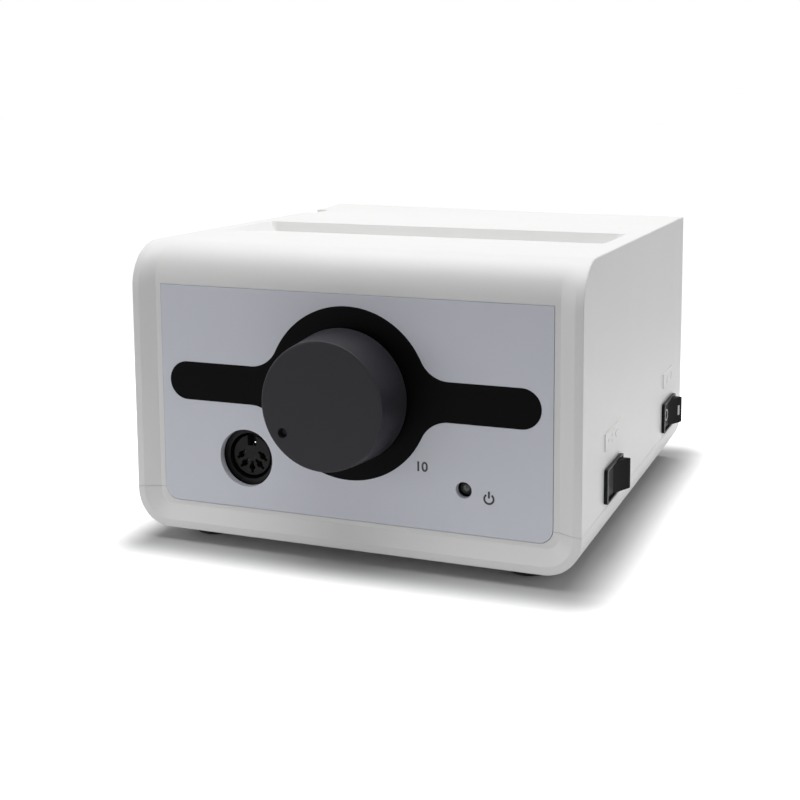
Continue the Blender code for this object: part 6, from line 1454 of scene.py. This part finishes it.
def add_floor():
    """A wide pale floor that takes the object's shadow.

    The distance from a footprint is the length of what is left of a place's absolute
    coordinates, counted from its middle, after its half sizes are taken off. The footprint is
    the case's, reaching a little further forward, where the shadow is deepest. With the distance
    the camera sees the floor whiter, a glow that paints part of the shadow's fade into white, and
    the floor's colour darkens, a painted pool of light round the case, so that it throws back
    less light. Close by, the camera sees it a little darker than its light says: a painted
    shadow along the footprint.
    """
    mesh = bpy.data.meshes.new("floor")
    corners = FLOOR_REACH * np.array([[-1, -1, 0], [1, -1, 0], [1, 1, 0], [-1, 1, 0]])
    mesh.from_pydata(corners.tolist(), [], [[0, 1, 2, 3]])
    floor = bpy.data.objects.new("floor", mesh)
    bpy.context.scene.collection.objects.link(floor)
    finish = bpy.data.materials.new("pale_floor")
    finish.use_nodes = True
    nodes, links = finish.node_tree.nodes, finish.node_tree.links
    nodes.clear()
    diffuse = nodes.new("ShaderNodeBsdfDiffuse")
    glow = nodes.new("ShaderNodeEmission")
    place = nodes.new("ShaderNodeTexCoord")
    away = place.outputs["Object"]
    for work, number in (("SUBTRACT", FOOTPRINT_MIDDLE), ("ABSOLUTE", 0.0),
                         ("SUBTRACT", FOOTPRINT_HALF), ("MAXIMUM", 0.0), ("LENGTH", 0.0)):
        step = nodes.new("ShaderNodeVectorMath")
        step.operation = work
        step.inputs[1].default_value = np.zeros(3) + number
        links.new(away, step.inputs[0])
        away = step.outputs["Value" if work == "LENGTH" else "Vector"]
    faded = []
    # The first range is the camera's glow, a painted fade of the shadow into white; the second
    # darkens the floor's colour, a painted pool of light that it bounces
    for numbers in (GLOW_RANGE, BOUNCE_RANGE):
        fade = ranged(nodes, links, away, *numbers)
        fade.interpolation_type = "SMOOTHSTEP"
        faded.append(fade.outputs["Result"])
    seen = plain_view(nodes, links)
    bright = calculate(nodes, links, "MULTIPLY", seen, faded[0])
    # Painted shadow: right beside the footprint the camera sees the floor darker than it is lit
    near = calculate(nodes, links, "SUBTRACT", seen, bright)
    painted_shadow = calculate(nodes, links, "MULTIPLY_ADD", near, -PAINTED_SHADOW_SHARE, 1.0)
    links.new(bright, glow.inputs["Strength"])
    links.new(calculate(nodes, links, "MULTIPLY", faded[1], painted_shadow), diffuse.inputs["Color"])
    both = nodes.new("ShaderNodeAddShader")
    out = nodes.new("ShaderNodeOutputMaterial")
    links.new(diffuse.outputs[0], both.inputs[0])
    links.new(glow.outputs[0], both.inputs[1])
    links.new(both.outputs[0], out.inputs["Surface"])
    mesh.materials.append(finish)


def add_world():
    """Even light from all round; the camera and gloss see plain white."""
    world = bpy.data.worlds.new("studio")
    world.use_nodes = True
    nodes, links = world.node_tree.nodes, world.node_tree.links
    nodes.clear()
    room = nodes.new("ShaderNodeBackground")
    room.inputs["Color"].default_value = ROOM_SHADE
    room.inputs["Strength"].default_value = ROOM_LIGHT
    white = nodes.new("ShaderNodeBackground")
    white.inputs["Color"].default_value = (1.0, 1.0, 1.0, 1.0)
    mix = nodes.new("ShaderNodeMixShader")
    out = nodes.new("ShaderNodeOutputWorld")
    links.new(plain_view(nodes, links), mix.inputs["Fac"])
    links.new(room.outputs[0], mix.inputs[1])
    links.new(white.outputs[0], mix.inputs[2])
    links.new(mix.outputs[0], out.inputs["Surface"])
    bpy.context.scene.world = world


class UNIT_OT_stage(bpy.types.Operator):
    """Set the floor, the lamps, the world and the camera"""
    bl_idname = "unit.stage"
    bl_label = "Stage"

    def execute(self, context):
        add_floor()
        add_world()
        for lamp in LAMPS:
            add_lamp(*lamp)
        scene = context.scene
        scene.view_settings.view_transform = "Standard"
        view = bpy.data.cameras.new("photo_view")
        view.sensor_width, view.lens = CAMERA_SENSOR, CAMERA_LENS
        view.shift_x, view.shift_y = CAMERA_SHIFT
        view.clip_start, view.clip_end = CAMERA_RANGE
        camera = bpy.data.objects.new("photo_view", view)
        camera.location = CAMERA_PLACE
        camera.rotation_euler = np.radians((90 - CAMERA_DROP, 0.0, CAMERA_HEADING))
        scene.collection.objects.link(camera)
        scene.camera = camera
        return {"FINISHED"}


class UNIT_PT_pieces(bpy.types.Panel):
    """Lists the builders of the control unit's pieces"""
    bl_idname = "UNIT_PT_pieces"
    bl_label = "Control Unit"
    bl_space_type = "VIEW_3D"
    bl_region_type = "UI"
    bl_category = "Control Unit"

    def draw(self, context):
        for builder in BUILDERS:
            self.layout.operator(builder.bl_idname)


BUILDERS = (UNIT_OT_finishes, UNIT_OT_cover, UNIT_OT_tray, UNIT_OT_plates, UNIT_OT_legends,
            UNIT_OT_dial, UNIT_OT_socket, UNIT_OT_lamp, UNIT_OT_switches, UNIT_OT_labels,
            UNIT_OT_feet, UNIT_OT_stage)
GROUPS = (CaseSizes, PanelSizes, PrintSizes, DialSizes, SocketSizes, LampSizes,
          SwitchSizes, SignSizes, FootSizes, Finishes, ControlUnit)


def register():
    for one in GROUPS + BUILDERS + (UNIT_PT_pieces,):
        bpy.utils.register_class(one)
    bpy.types.Scene.control_unit = PointerProperty(
        type=ControlUnit, name="Control unit", description="Sizes and colours of the unit")


def unregister():
    del bpy.types.Scene.control_unit
    for one in reversed(GROUPS + BUILDERS + (UNIT_PT_pieces,)):
        bpy.utils.unregister_class(one)


def main():
    register()
    bpy.ops.unit.finishes()
    bpy.ops.unit.cover()
    bpy.ops.unit.tray()
    bpy.ops.unit.plates()
    bpy.ops.unit.legends()
    bpy.ops.unit.dial()
    bpy.ops.unit.socket()
    bpy.ops.unit.lamp()
    bpy.ops.unit.switches()
    bpy.ops.unit.labels()
    bpy.ops.unit.feet()
    bpy.ops.unit.stage()


if __name__ == "__main__":
    main()
